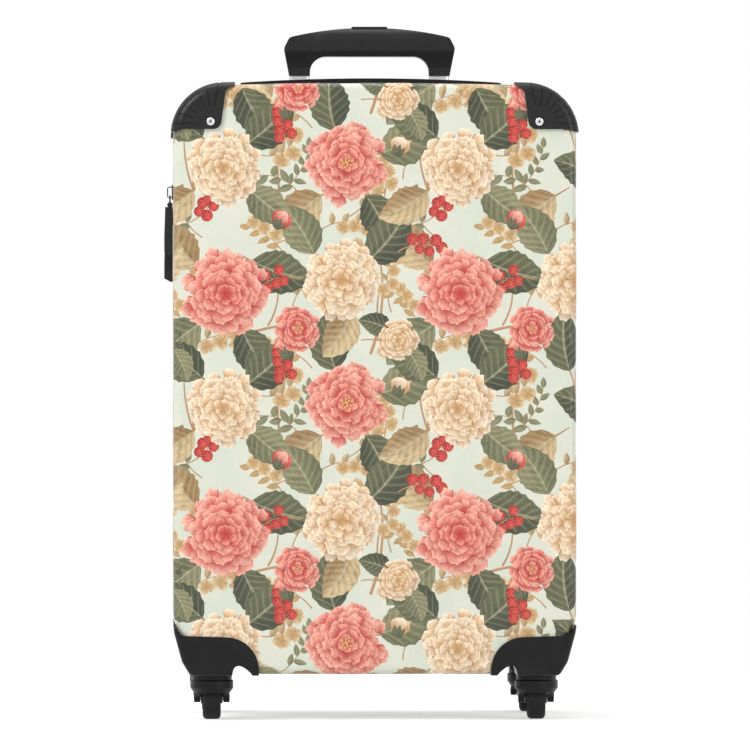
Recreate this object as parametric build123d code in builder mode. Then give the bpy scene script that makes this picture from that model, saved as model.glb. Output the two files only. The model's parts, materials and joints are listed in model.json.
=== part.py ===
"""Hard cabin suitcase on four spinner casters: two moulded half shells joined by a zip and a cloth hinge."""

import os
from math import cos, radians, sin, sqrt

from build123d import *

os.makedirs("parts", exist_ok=True)

# Driving dimensions in millimetres. X is the width, Y the depth with the front at -Y, Z is up from the floor.
case_width = 345.0
case_height = 506.4
half_depth = 121.0
shell_bottom = 40.0
shell_wall = 2.0
top_crown = 3.0
top_corner_radius = 43.0
bottom_corner_radius = 36.0
wheel_step_in = 72.0
wheel_step_out = 49.0
wheel_step_height = 17.0
wheel_step_radius = 13.0
face_edge_radius = 6.5
seam_half_gap = 4.5

# Corner caps, moulded plastic over the shell's top corners.
cap_thickness = 2.6
cap_reach_in = 52.5
cap_flap_in = 40.0
cap_flap_down = 39.5
cap_reach_down = 41.5
cap_depth = 42.0
cap_corner_radius = 7.0
cap_rear_radius = 14.0
groove_count = 7
groove_first_deg = -12.6
groove_step_deg = 17.8
groove_width = 1.1
groove_depth = 0.9
groove_start = 13.6

# Wheel guards, moulded plastic round the bottom corners.
guard_skin = 1.6
guard_reach_in = 73.0
guard_front_height = 31.5
guard_side_height = 41.5
guard_curve_radius = 28.3
guard_depth = 66.0
guard_slant_in = 7.0
guard_slant_height = 10.5
guard_foot_in = 14.2
guard_outer_radius = 4.0
guard_rear_radius = 18.0

# Screws that hold the caps and guards.
screw_head_radius = 3.6
screw_head_height = 1.6
screw_shank_radius = 1.6
screw_length = 3.2
screw_recess_radius = 4.4
screw_recess_depth = 0.9
cap_screw_in = 31.6
cap_screw_down = 33.0
cap_top_screw_in = 40.0
cap_side_screw_down = 36.6
cap_screw_depth = 18.0

# Spinner casters.
caster_in = 32.8
caster_depth_in = 33.0
wheel_radius = 18.5
wheel_width = 15.6
tyre_inner_radius = 14.2
tyre_edge_radius = 3.6
hub_recess_depth = 3.6
caster_trail = 9.0
axle_radius = 2.5
running_clearance = 0.05
wheel_well_gap = 1.3
fork_neck_radius = 17.2
fork_collar_radius = 18.6
fork_collar_top = 34.0
fork_hood_bottom = 22.8
fork_top = 43.5
ear_gap = 19.8
ear_thickness = 5.4
ear_end_radius = 4.2
hub_end_gap = 0.5
kingpin_radius = 4.0
kingpin_head_radius = 6.0
kingpin_head_height = 1.4
kingpin_head_gap = 0.4
cup_gap = 0.4
cup_wall = 1.7
cup_ceiling_gap = 0.8
cup_roof = 9.0
arch_in = 67.6
arch_out = 49.3
arch_peak_in = 54.9
arch_rise = 6.9

# Telescopic handle: an inner tube sliding in an outer tube on each side.
pole_x = 61.4
pole_back_in = 18.0
inner_tube_width = 18.0
inner_tube_depth = 9.6
tube_wall = 1.1
tube_gap = 0.35
tube_corner_radius = 3.0
outer_tube_rise = 2.6
outer_tube_bottom = 60.0
inner_tube_foot = 12.0
plug_height = 6.0
spigot_length = 12.0
bracket_height = 28.0
bracket_side = 6.0
grip_leg_rise = 10.5
grip_shoulder_half = 75.3
grip_shoulder_rise = 24.5
grip_end_half = 70.5
grip_end_rise = 33.9
grip_height = 42.5
grip_gap_half = 52.4
grip_gap_height = 17.0
grip_gap_radius = 14.0
grip_crease_rise = 34.5
grip_leg_depth = 15.6
grip_depth = 25.0
button_length = 31.6
button_width = 12.0
button_height = 8.6
button_proud = 1.0
button_travel = 3.0
button_gap = 0.35
bezel_height = 5.8
bezel_side = 6.0
bezel_depth = 25.0

# Carry handle on the rear shell's top.
handle_y = 46.0
handle_half_length = 114.0
handle_width = 22.0
handle_end_rise = 2.7
handle_end_thickness = 2.6
handle_arch = 2.2
handle_apex_thickness = 4.2
handle_lift = 12.0
stem_end_in = 11.0
stem_length = 10.0
stem_width = 8.0
stem_gap = 0.4
stem_foot_width = 13.0
stem_foot_height = 2.5
mount_length = 34.0
mount_width = 27.0
mount_height = 3.4
mount_cup_wall = 1.6
mount_roof_below = 1.6

# Zip, cloth hinge and zip pulls.
tape_thickness = 0.8
tape_start = 0.3
tape_reach = 14.5
coil_start = 0.2
coil_width = 1.7
coil_inset = 0.8
hinge_low = 100.0
hinge_top_in = 56.4
slider_length = 13.0
slider_half_width = 4.2
slider_plate = 1.8
slider_lip_start = 2.3
upper_slider_down = 91.4
slider_pitch = 22.4
bridge_length = 10.0
bridge_height = 4.1
bridge_wall = 1.0
bridge_width = 2.4
link_wire_radius = 0.6
link_half_width = 2.2
link_arm = 1.4
link_drop = 7.6
link_pin_gap = 1.0
tab_width = 7.5
tab_length = 43.6
tab_thickness = 2.8
tab_offset = 4.5
tab_grip_length = 18.0
tab_grip_extra = 0.5
eye_radius = 2.4
tab_side_gap = 0.6

# Lining, pocket and packing straps.
lining_thickness = 1.0
lining_start = 14.6
lining_back_in = 24.25
strap_width = 25.0
strap_thickness = 1.4
strap_end_x = 140.0
strap_low_z = 130.0
strap_top_in = 96.4
buckle_width = 46.0
buckle_height = 52.0
buckle_thickness = 7.0
pocket_width = 270.0
pocket_height = 350.0
pocket_thickness = 0.9
pocket_radius = 18.0

# Worked out from the driving dimensions.
half_width = case_width / 2
shell_top = shell_bottom + case_height
corner_z = shell_top - top_crown
middle_z = (shell_bottom + shell_top) / 2
axle_z = wheel_radius
caster_x = half_width - caster_in
caster_y = half_depth - caster_depth_in
pole_y = half_depth - pole_back_in
outer_tube_top = shell_top + outer_tube_rise
inner_tube_bottom = outer_tube_bottom + inner_tube_foot
grip_leg_bottom = outer_tube_top + grip_leg_rise
grip_shoulder_z = grip_leg_bottom + grip_shoulder_rise
grip_end_z = grip_leg_bottom + grip_end_rise
grip_top = grip_leg_bottom + grip_height
grip_gap_top = grip_leg_bottom + grip_gap_height
grip_crease_z = grip_leg_bottom + grip_crease_rise
handle_end_z = shell_top + handle_end_rise
stem_x = handle_half_length - stem_end_in
hinge_high = shell_top - hinge_top_in
upper_slider_z = shell_top - upper_slider_down
lower_slider_z = upper_slider_z - slider_pitch
rear_lining_back = half_depth - lining_back_in
strap_high_z = shell_top - strap_top_in
cup_radius = fork_neck_radius + cup_gap
cup_outer = cup_radius + cup_wall
cup_ceiling = fork_top + cup_ceiling_gap
cup_top = cup_ceiling + cup_roof
guard_bottom = shell_bottom - guard_skin
outer_tube_width = inner_tube_width + 2 * (tube_gap + tube_wall)
outer_tube_depth = inner_tube_depth + 2 * (tube_gap + tube_wall)
big = 700.0


def top_at(x):
    """Height of the shell's crowned top at x, away from its corners."""
    return shell_top - top_crown * (x / half_width) ** 2


def prism(inset, y_near, y_far):
    """The case's outline, shrunk by inset, from y_near back towards the front as far as y_far."""
    step_x = half_width - wheel_step_in
    ledge_x = half_width - wheel_step_out
    ledge_z = shell_bottom + wheel_step_height
    with BuildPart() as block:
        with BuildSketch(Plane.XZ.offset(-y_near)) as profile:
            with BuildLine():
                Polyline(
                    (-half_width, corner_z),
                    (-half_width, ledge_z),
                    (-ledge_x, ledge_z),
                    (-step_x, shell_bottom),
                    (step_x, shell_bottom),
                    (ledge_x, ledge_z),
                    (half_width, ledge_z),
                    (half_width, corner_z),
                )
                ThreePointArc((half_width, corner_z), (0, shell_top), (-half_width, corner_z))
            make_face()
            for side in (1, -1):
                for x, z, radius in (
                    (half_width, corner_z, top_corner_radius),
                    (half_width, ledge_z, bottom_corner_radius),
                    (ledge_x, ledge_z, wheel_step_radius),
                    (step_x, shell_bottom, wheel_step_radius),
                ):
                    fillet(profile.vertices().sort_by_distance((side * x, z, 0))[0], radius)
            if inset:
                offset(amount=-inset, mode=Mode.REPLACE)
        extrude(amount=y_near - y_far)
    return block.part


def half_block(inset, y_near, y_far):
    """The same outline as a block whose edge round the front face is rounded too."""
    with BuildPart() as block:
        add(prism(inset, y_near, y_far))
        front_face = block.faces().sort_by(Axis.Y)[0]
        fillet(front_face.edges(), face_edge_radius - inset)
    return block.part


def rear(piece):
    """The mirror image of a front piece, for the rear half."""
    return mirror(piece, about=Plane.XZ, mode=Mode.PRIVATE)


def right(piece):
    """The mirror image of a left piece, for the right side."""
    return mirror(piece, about=Plane.YZ, mode=Mode.PRIVATE)


def finish(piece, name):
    """Names one finished piece and writes it as parts/name.step."""
    piece.label = name
    export_step(piece, f"parts/{name}.step")


# Solids that several pieces are cut from.
shell_outside = half_block(0, -seam_half_gap, -half_depth)
shell_inside = half_block(shell_wall, 0, -(half_depth - shell_wall))
cap_outside = half_block(-cap_thickness, -seam_half_gap, -(half_depth + cap_thickness))
groove_floor = half_block(groove_depth - cap_thickness, 0, -(half_depth + cap_thickness - groove_depth))

# Screw places on the left of the front half: position, then the turn that takes +Z to the outward direction.
cap_front_screw = (-half_width + cap_screw_in, -(half_depth + cap_thickness - screw_recess_depth),
                   shell_top - cap_screw_down)
cap_screw_y = -half_depth + cap_screw_depth
top_screw_x = -half_width + cap_top_screw_in
top_screw_drop = top_corner_radius - sqrt(top_corner_radius**2 - max(0.0, top_corner_radius - cap_top_screw_in) ** 2)
cap_top_screw = (top_screw_x, cap_screw_y,
                 top_at(top_screw_x) - top_screw_drop + cap_thickness - screw_recess_depth)
side_screw_z = shell_top - cap_side_screw_down
side_rise = max(0.0, side_screw_z - (corner_z - top_corner_radius))
side_screw_in = top_corner_radius - sqrt(top_corner_radius**2 - side_rise**2)
cap_side_screw = (-half_width + side_screw_in - cap_thickness + screw_recess_depth, cap_screw_y, side_screw_z)
cap_screws = [
    Location(cap_front_screw, (90, 0, 0)),
    Location(cap_top_screw, (0, 0, 0)),
    Location(cap_side_screw, (0, -90, 0)),
]
handle_mounts = [(-stem_x, -handle_y), (stem_x, -handle_y)]
caster_places = [(-caster_x, -caster_y), (caster_x, -caster_y)]


def screw(length):
    """A pan head screw standing on its head's underside at the origin, with a cross recess."""
    with BuildPart() as one:
        Cylinder(screw_head_radius, screw_head_height, align=(Align.CENTER, Align.CENTER, Align.MIN))
        fillet(one.faces().sort_by(Axis.Z)[-1].edges(), screw_head_height * 0.6)
        Cylinder(screw_shank_radius, length, align=(Align.CENTER, Align.CENTER, Align.MAX))
        with Locations((0, 0, screw_head_height)):
            Box(4.2, 0.9, 1.8, mode=Mode.SUBTRACT)
            Box(0.9, 4.2, 1.8, mode=Mode.SUBTRACT)
    return one.part


def half_shell(is_rear):
    """One moulded half, in its front place: an open box with rounded corners and holes for its fittings."""
    with BuildPart() as shell:
        add(shell_outside)
        add(shell_inside, mode=Mode.SUBTRACT)
        for place in cap_screws:
            for side in (1, -1):
                with BuildPart(mode=Mode.PRIVATE) as drill:
                    with Locations(place):
                        Cylinder(screw_shank_radius, screw_length, align=(Align.CENTER, Align.CENTER, Align.MAX))
                add(drill.part if side == 1 else right(drill.part), mode=Mode.SUBTRACT)
        if is_rear:
            with Locations(*[(x, y, shell_top) for x, y in handle_mounts]):
                Box(stem_length + 2 * (stem_gap + mount_cup_wall) + 0.4,
                    stem_foot_width + 2 * (stem_gap + mount_cup_wall) + 0.4, 30, mode=Mode.SUBTRACT)
            with Locations((-pole_x, -pole_y, shell_top), (pole_x, -pole_y, shell_top)):
                Box(outer_tube_width, outer_tube_depth, 30, mode=Mode.SUBTRACT)
    return shell.part


def half_lining(back_y, is_rear):
    """Cloth lining of one half, in its front place, with covers over the handle mounts in the rear one."""
    with BuildPart() as cloth:
        add(half_block(shell_wall, -lining_start, -back_y))
        add(half_block(shell_wall + lining_thickness, 0, -(back_y - lining_thickness)), mode=Mode.SUBTRACT)
        if is_rear:
            box_x = stem_length + 2 * (stem_gap + mount_cup_wall + lining_thickness + 0.6)
            box_y = stem_foot_width + 2 * (stem_gap + mount_cup_wall + lining_thickness + 0.6)
            floor = mount_floor_z - 1.0
            for x, y in handle_mounts:
                with BuildPart(mode=Mode.PRIVATE) as well:
                    with Locations((x, y, floor - lining_thickness)):
                        Box(box_x, box_y, 60, align=(Align.CENTER, Align.CENTER, Align.MIN))
                    add(half_block(shell_wall, -lining_start, -back_y), mode=Mode.INTERSECT)
                add(well.part)
                with Locations((x, y, floor)):
                    Box(box_x - 2 * lining_thickness, box_y - 2 * lining_thickness, 60,
                        align=(Align.CENTER, Align.CENTER, Align.MIN), mode=Mode.SUBTRACT)
    return cloth.part


def zip_half():
    """Front half of the zip: a woven tape inside the rim with its coil along the free edge."""
    with BuildPart() as tape:
        add(prism(shell_wall, -tape_start, -tape_reach))
        add(prism(coil_inset, -coil_start, -(coil_start + coil_width)))
        add(prism(shell_wall + tape_thickness, 0, -(tape_reach + 1)), mode=Mode.SUBTRACT)
        with Locations((half_width, 0, (hinge_low + hinge_high) / 2)):
            Box(20, 60, hinge_high - hinge_low, mode=Mode.SUBTRACT)
    return tape.part


def corner_cap():
    """Left front corner cap: a skin over the rounded corner with a fan of grooves and three screw seats."""
    flap_x = -half_width + cap_flap_in
    flap_z = shell_top - cap_flap_down
    with BuildPart() as cap:
        with BuildSketch(Plane.XZ.offset(half_depth + cap_thickness - cap_depth)) as face:
            with BuildLine():
                Polyline(
                    (-half_width - 20, shell_top + 20),
                    (-half_width - 20, shell_top - cap_reach_down - 1.5),
                    (-half_width + 1.5, shell_top - cap_reach_down),
                    (-half_width + 8, flap_z),
                    (flap_x, flap_z),
                    (flap_x + 4.6, shell_top - 6.5),
                    (-half_width + cap_reach_in, shell_top - 0.6),
                    (-half_width + cap_reach_in, shell_top + 20),
                    close=True,
                )
            make_face()
            corner = face.vertices().sort_by_distance((flap_x, flap_z, 0))[0]
            fillet(corner, cap_corner_radius)
        extrude(amount=cap_depth)
        add(cap_outside, mode=Mode.INTERSECT)
        add(shell_outside, mode=Mode.SUBTRACT)
        with BuildPart(mode=Mode.PRIVATE) as rounding:
            rear_y = -(half_depth + cap_thickness - cap_depth)
            with BuildSketch(Plane.XY) as plan:
                with Locations((-half_width - 20, rear_y)):
                    Rectangle(cap_reach_in + 20, cap_depth + 20, align=(Align.MIN, Align.MAX))
                far = plan.vertices().sort_by_distance((-half_width + cap_reach_in, rear_y, 0))[0]
                fillet(far, cap_rear_radius)
            extrude(amount=big)
        add(rounding.part, mode=Mode.INTERSECT)
        with BuildPart(mode=Mode.PRIVATE) as rounding_side:
            with BuildSketch(Plane.YZ) as flank:
                with Locations((rear_y, shell_top - cap_reach_down - 1.5)):
                    Rectangle(cap_depth + 20, cap_reach_down + 30, align=(Align.MAX, Align.MIN))
                far = flank.vertices().sort_by_distance((rear_y, shell_top - cap_reach_down - 1.5, 0))[0]
                fillet(far, cap_rear_radius)
            extrude(amount=-big)
        add(rounding_side.part, mode=Mode.INTERSECT)
        with BuildPart(mode=Mode.PRIVATE) as grooves:
            for number in range(groove_count):
                angle = groove_first_deg + number * groove_step_deg
                with BuildPart(mode=Mode.PRIVATE) as blade:
                    with Locations(Location((cap_front_screw[0], -half_depth, cap_front_screw[2]), (0, -angle, 0))):
                        with Locations((0, 0, groove_start + 30)):
                            Box(groove_width, 26, 60)
                add(blade.part)
            add(groove_floor, mode=Mode.SUBTRACT)
        add(grooves.part, mode=Mode.SUBTRACT)
        for place in cap_screws:
            with Locations(place):
                Cylinder(screw_recess_radius, 6, align=(Align.CENTER, Align.CENTER, Align.MIN),
                         mode=Mode.SUBTRACT)
                Cylinder(screw_shank_radius, 8, mode=Mode.SUBTRACT)
    return cap.part


def wheel_guard():
    """Left front wheel guard: a corner moulding with a cup that the caster turns in."""
    inner_x = -half_width + guard_reach_in
    foot_x = -half_width + guard_foot_in
    curve_z = shell_bottom + guard_front_height - guard_curve_radius
    curve_x = inner_x - guard_curve_radius
    bend = guard_curve_radius * sqrt(0.5)
    side_x = -half_width - 0.3
    side_z = shell_bottom + guard_side_height
    with BuildPart() as guard:
        with BuildSketch(Plane.XZ.offset(half_depth + cap_thickness - guard_depth)) as face:
            with BuildLine():
                Polyline(
                    (side_x, side_z),
                    (side_x + 0.8, side_z - 7),
                    (-half_width + guard_slant_in, shell_bottom + guard_slant_height),
                    (foot_x, guard_bottom),
                    (inner_x, guard_bottom),
                    (inner_x, curve_z),
                )
                ThreePointArc((inner_x, curve_z), (curve_x + bend, curve_z + bend),
                              (curve_x, curve_z + guard_curve_radius))
                Line((curve_x, curve_z + guard_curve_radius), (side_x + 13, side_z - 9))
                ThreePointArc((side_x + 13, side_z - 9), (side_x + 4.2, side_z - 6.2), (side_x, side_z))
            make_face()
            fillet(face.vertices().sort_by_distance((foot_x, guard_bottom, 0))[0], 6)
            slant = (-half_width + guard_slant_in, shell_bottom + guard_slant_height, 0)
            fillet(face.vertices().sort_by_distance(slant)[0], 10)
        extrude(amount=guard_depth)
        front_face = guard.faces().sort_by(Axis.Y)[0]
        outer_edges = front_face.edges().filter_by(lambda e: e.center().X < foot_x + 4 and e.center().Z < side_z - 8)
        fillet(outer_edges, guard_outer_radius)
        add(shell_outside, mode=Mode.SUBTRACT)
        with BuildPart(mode=Mode.PRIVATE) as rounding:
            rear_y = -(half_depth + cap_thickness - guard_depth)
            with BuildSketch(Plane.XY) as plan:
                with Locations((-half_width - 20, rear_y)):
                    Rectangle(guard_reach_in + 20, guard_depth + 20, align=(Align.MIN, Align.MAX))
                fillet(plan.vertices().sort_by_distance((inner_x, rear_y, 0))[0], guard_rear_radius)
            extrude(amount=big)
        add(rounding.part, mode=Mode.INTERSECT)
        with Locations((-caster_x, -caster_y, guard_bottom)):
            Cylinder(cup_outer, cup_top - guard_bottom, align=(Align.CENTER, Align.CENTER, Align.MIN))
            Cylinder(cup_radius, cup_ceiling - guard_bottom,
                     align=(Align.CENTER, Align.CENTER, Align.MIN), mode=Mode.SUBTRACT)
            Cylinder(kingpin_radius, 100, align=(Align.CENTER, Align.CENTER, Align.MIN), mode=Mode.SUBTRACT)
        with BuildSketch(Plane.XZ.offset(half_depth + cap_thickness - guard_depth - 1)) as tunnel:
            with BuildLine():
                foot = (-half_width + arch_out, guard_bottom - 5)
                peak = (-half_width + arch_peak_in, shell_bottom + arch_rise)
                end = (-half_width + arch_in, guard_bottom - 5)
                Line(end, foot)
                Line(foot, (foot[0] + 1.6, shell_bottom + 3))
                Spline((foot[0] + 1.6, shell_bottom + 3), peak, (-half_width + 62.4, shell_bottom + 3.9),
                       (end[0], guard_bottom))
                Line((end[0], guard_bottom), end)
            make_face()
        extrude(amount=guard_depth + 2, mode=Mode.SUBTRACT)
    return guard.part


def kingpin():
    """Swivel pin of one caster at its own place below the origin's caster axis."""
    head_z = kingpin_seat_z
    with BuildPart() as pin:
        with Locations((0, 0, head_z)):
            Cylinder(kingpin_head_radius, kingpin_head_height, align=(Align.CENTER, Align.CENTER, Align.MAX))
            Cylinder(kingpin_radius, cup_top - head_z, align=(Align.CENTER, Align.CENTER, Align.MIN))
    return pin.part


def caster_fork():
    """Turning fork of a caster with its kingpin axis on Z and its wheel trailing towards +Y."""
    with BuildPart() as fork:
        with BuildSketch(Plane.XZ):
            with BuildLine():
                Polyline(
                    (0, fork_hood_bottom),
                    (fork_collar_radius - 3.2, fork_hood_bottom),
                    (fork_collar_radius, fork_hood_bottom + 4.4),
                    (fork_collar_radius, fork_collar_top - 0.8),
                    (fork_collar_radius - 0.5, fork_collar_top),
                    (fork_neck_radius, fork_collar_top),
                    (fork_neck_radius, fork_top),
                    (0, fork_top),
                    close=True,
                )
            make_face()
        revolve(axis=Axis.Z)
        for start in (ear_gap / 2, -ear_gap / 2 - ear_thickness):
            with BuildSketch(Plane.YZ.offset(start)):
                with BuildLine():
                    Polyline(
                        (-9, fork_hood_bottom + 4.4),
                        (10.5, fork_hood_bottom + 4.4),
                        (caster_trail + ear_end_radius, axle_z),
                        (caster_trail - ear_end_radius, axle_z),
                        close=True,
                    )
                make_face()
                with Locations((caster_trail, axle_z)):
                    Circle(ear_end_radius)
            extrude(amount=ear_thickness)
        with Locations(Location((0, caster_trail, axle_z), (0, 90, 0))):
            Cylinder(wheel_radius + wheel_well_gap, ear_gap, mode=Mode.SUBTRACT)
            Cylinder(axle_radius, 60, mode=Mode.SUBTRACT)
        with Locations((0, 0, kingpin_seat_z + 0.1)):
            Cylinder(kingpin_head_radius + kingpin_head_gap, 30,
                     align=(Align.CENTER, Align.CENTER, Align.MAX), mode=Mode.SUBTRACT)
        Cylinder(kingpin_radius + running_clearance, 200, mode=Mode.SUBTRACT)
    return fork.part


def caster_axle():
    """Axle pin of a caster, pressed in the fork's two ears."""
    with BuildPart() as axle:
        with Locations(Location((0, caster_trail, axle_z), (0, 90, 0))):
            Cylinder(axle_radius, ear_gap + 2 * ear_thickness + 0.8)
        chamfer(axle.faces().sort_by(Axis.X)[0].edges(), 0.4)
        chamfer(axle.faces().sort_by(Axis.X)[-1].edges(), 0.4)
    return axle.part


def caster_hub():
    """Wheel hub with recessed sides, bored to run on the axle."""
    with BuildPart() as hub:
        with Locations(Location((0, caster_trail, axle_z), (0, 90, 0))):
            Cylinder(tyre_inner_radius, wheel_width - 1)
            for side in (1, -1):
                with Locations((0, 0, side * (wheel_width - 1) / 2)):
                    Cylinder(tyre_inner_radius - 1.6, 2 * hub_recess_depth, mode=Mode.SUBTRACT)
            Cylinder(axle_radius + 2.6, ear_gap - 2 * hub_end_gap)
            Cylinder(axle_radius + running_clearance, 60, mode=Mode.SUBTRACT)
    return hub.part


def caster_tyre():
    """Soft tread round the hub, with rounded shoulders."""
    with BuildPart() as tyre:
        with Locations(Location((0, caster_trail, axle_z), (0, 90, 0))):
            Cylinder(wheel_radius, wheel_width)
        fillet(tyre.faces().sort_by(Axis.X)[0].edges(), tyre_edge_radius)
        fillet(tyre.faces().sort_by(Axis.X)[-1].edges(), tyre_edge_radius)
        with Locations(Location((0, caster_trail, axle_z), (0, 90, 0))):
            Cylinder(tyre_inner_radius, wheel_width + 1, mode=Mode.SUBTRACT)
    return tyre.part


def pole_tube(width, depth, bottom, top):
    """A rounded rectangular tube standing on the origin's Z axis."""
    with BuildPart() as tube:
        with BuildSketch(Plane.XY.offset(bottom)):
            RectangleRounded(width, depth, tube_corner_radius)
            RectangleRounded(width - 2 * tube_wall, depth - 2 * tube_wall, tube_corner_radius - tube_wall,
                             mode=Mode.SUBTRACT)
        extrude(amount=top - bottom)
    return tube.part


def tube_plug():
    """Guide plug in the lower end of an inner tube."""
    with BuildPart() as plug:
        with BuildSketch(Plane.XY.offset(inner_tube_bottom)):
            RectangleRounded(inner_tube_width, inner_tube_depth, tube_corner_radius)
        extrude(amount=-plug_height)
        with BuildSketch(Plane.XY.offset(inner_tube_bottom)):
            RectangleRounded(inner_tube_width - 2 * tube_wall, inner_tube_depth - 2 * tube_wall,
                             tube_corner_radius - tube_wall)
        extrude(amount=spigot_length)
    return plug.part


def grip_body():
    """The whole outside of the pull grip, before it is split at its crease."""
    leg_out = pole_x + inner_tube_width / 2 + 0.2
    with BuildPart() as body:
        with BuildSketch(Plane.XZ) as face:
            with BuildLine():
                Polyline(
                    (grip_end_half, grip_end_z),
                    (grip_shoulder_half, grip_shoulder_z),
                    (leg_out, grip_leg_bottom),
                    (grip_gap_half, grip_leg_bottom),
                    (grip_gap_half, grip_gap_top),
                    (-grip_gap_half, grip_gap_top),
                    (-grip_gap_half, grip_leg_bottom),
                    (-leg_out, grip_leg_bottom),
                    (-grip_shoulder_half, grip_shoulder_z),
                    (-grip_end_half, grip_end_z),
                )
                ThreePointArc((-grip_end_half, grip_end_z), (0, grip_top), (grip_end_half, grip_end_z))
            make_face()
            for side in (1, -1):
                fillet(face.vertices().sort_by_distance((side * grip_gap_half, grip_gap_top, 0))[0],
                       grip_gap_radius)
                fillet(face.vertices().sort_by_distance((side * grip_end_half, grip_end_z, 0))[0], 5)
                fillet(face.vertices().sort_by_distance((side * grip_shoulder_half, grip_shoulder_z, 0))[0], 7)
        extrude(amount=grip_depth, both=True)
        with BuildPart(mode=Mode.PRIVATE) as section:
            with BuildSketch(Plane.YZ.offset(-grip_shoulder_half - 5)) as flank:
                with BuildLine():
                    Polyline(
                        (-grip_depth / 2, grip_end_z - 3),
                        (-grip_depth / 2, grip_gap_top + 5),
                        (-grip_leg_depth / 2, grip_gap_top - 9),
                        (-grip_leg_depth / 2, grip_leg_bottom),
                        (grip_leg_depth / 2, grip_leg_bottom),
                        (grip_leg_depth / 2, grip_gap_top - 9),
                        (grip_depth / 2, grip_gap_top + 5),
                        (grip_depth / 2, grip_end_z - 3),
                    )
                    ThreePointArc((grip_depth / 2, grip_end_z - 3), (0, grip_top + 0.5),
                                  (-grip_depth / 2, grip_end_z - 3))
                make_face()
                for side in (1, -1):
                    fillet(flank.vertices().sort_by_distance((side * grip_depth / 2, grip_gap_top + 5, 0))[0], 7)
                    fillet(flank.vertices().sort_by_distance((side * grip_leg_depth / 2, grip_gap_top - 9, 0))[0], 7)
            extrude(amount=2 * grip_shoulder_half + 10)
        add(section.part, mode=Mode.INTERSECT)
    return body.part


kingpin_seat_z = fork_top - 1.8
mount_roof_z = top_at(stem_x) - shell_wall - mount_roof_below
stem_foot_top = mount_roof_z - handle_lift
mount_floor_z = stem_foot_top - stem_foot_height - 1.0 - mount_cup_wall

# Shells, linings and zip.
with BuildPart() as front_shell:
    add(half_shell(False))
finish(front_shell.part, "front_shell")

with BuildPart() as rear_shell:
    add(rear(half_shell(True)))
finish(rear_shell.part, "rear_shell")

with BuildPart() as front_lining:
    add(half_lining(half_depth - shell_wall, False))
finish(front_lining.part, "front_lining")

with BuildPart() as rear_lining:
    add(rear(half_lining(rear_lining_back, True)))
finish(rear_lining.part, "rear_lining")

with BuildPart() as zip_tape_front:
    add(zip_half())
finish(zip_tape_front.part, "zip_tape_front")

with BuildPart() as zip_tape_rear:
    add(rear(zip_tape_front.part))
finish(zip_tape_rear.part, "zip_tape_rear")

with BuildPart() as hinge_tape:
    with Locations((half_width - shell_wall, 0, hinge_low)):
        Box(tape_thickness, 2 * tape_reach, hinge_high - hinge_low,
            align=(Align.MAX, Align.CENTER, Align.MIN))
finish(hinge_tape.part, "hinge_tape")

# Corner caps, wheel guards and their screws and kingpins.
left_cap = corner_cap()
left_guard = wheel_guard()
for piece, stem in ((left_cap, "cap"), (left_guard, "guard")):
    with BuildPart() as front_left:
        add(piece)
    finish(front_left.part, f"{stem}_front_left")
    with BuildPart() as front_right:
        add(right(piece))
    finish(front_right.part, f"{stem}_front_right")
    with BuildPart() as rear_left:
        add(rear(piece))
    finish(rear_left.part, f"{stem}_rear_left")
    with BuildPart() as rear_right:
        add(right(rear(piece)))
    finish(rear_right.part, f"{stem}_rear_right")

with BuildPart() as screws_front:
    for place in cap_screws:
        add(screw(screw_length).moved(place))
        add(right(screw(screw_length).moved(place)))
finish(screws_front.part, "screws_front")

with BuildPart() as screws_rear:
    add(rear(screws_front.part))
finish(screws_rear.part, "screws_rear")

with BuildPart() as kingpins_front:
    for x, y in caster_places:
        add(kingpin().moved(Location((x, y, 0))))
finish(kingpins_front.part, "kingpins_front")

with BuildPart() as kingpins_rear:
    add(rear(kingpins_front.part))
finish(kingpins_rear.part, "kingpins_rear")

# Casters, all four trailing towards the rear.
caster_pieces = {
    "caster_fork": caster_fork(),
    "caster_axle": caster_axle(),
    "caster_hub": caster_hub(),
    "caster_tyre": caster_tyre(),
}
for end, y in (("front", -caster_y), ("rear", caster_y)):
    for side, x in (("left", -caster_x), ("right", caster_x)):
        for stem, piece in caster_pieces.items():
            with BuildPart() as caster_piece:
                add(piece.moved(Location((x, y, 0))))
            finish(caster_piece.part, f"{stem}_{end}_{side}")

# Telescopic handle.
for side, x in (("left", -pole_x), ("right", pole_x)):
    with BuildPart() as outer_tube:
        add(pole_tube(outer_tube_width, outer_tube_depth, outer_tube_bottom, outer_tube_top)
            .moved(Location((x, pole_y, 0))))
    finish(outer_tube.part, f"outer_tube_{side}")
    with BuildPart() as inner_tube:
        add(pole_tube(inner_tube_width, inner_tube_depth, inner_tube_bottom, grip_leg_bottom)
            .moved(Location((x, pole_y, 0))))
    finish(inner_tube.part, f"inner_tube_{side}")
    with BuildPart() as plug:
        add(tube_plug().moved(Location((x, pole_y, 0))))
    finish(plug.part, f"tube_plug_{side}")

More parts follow.
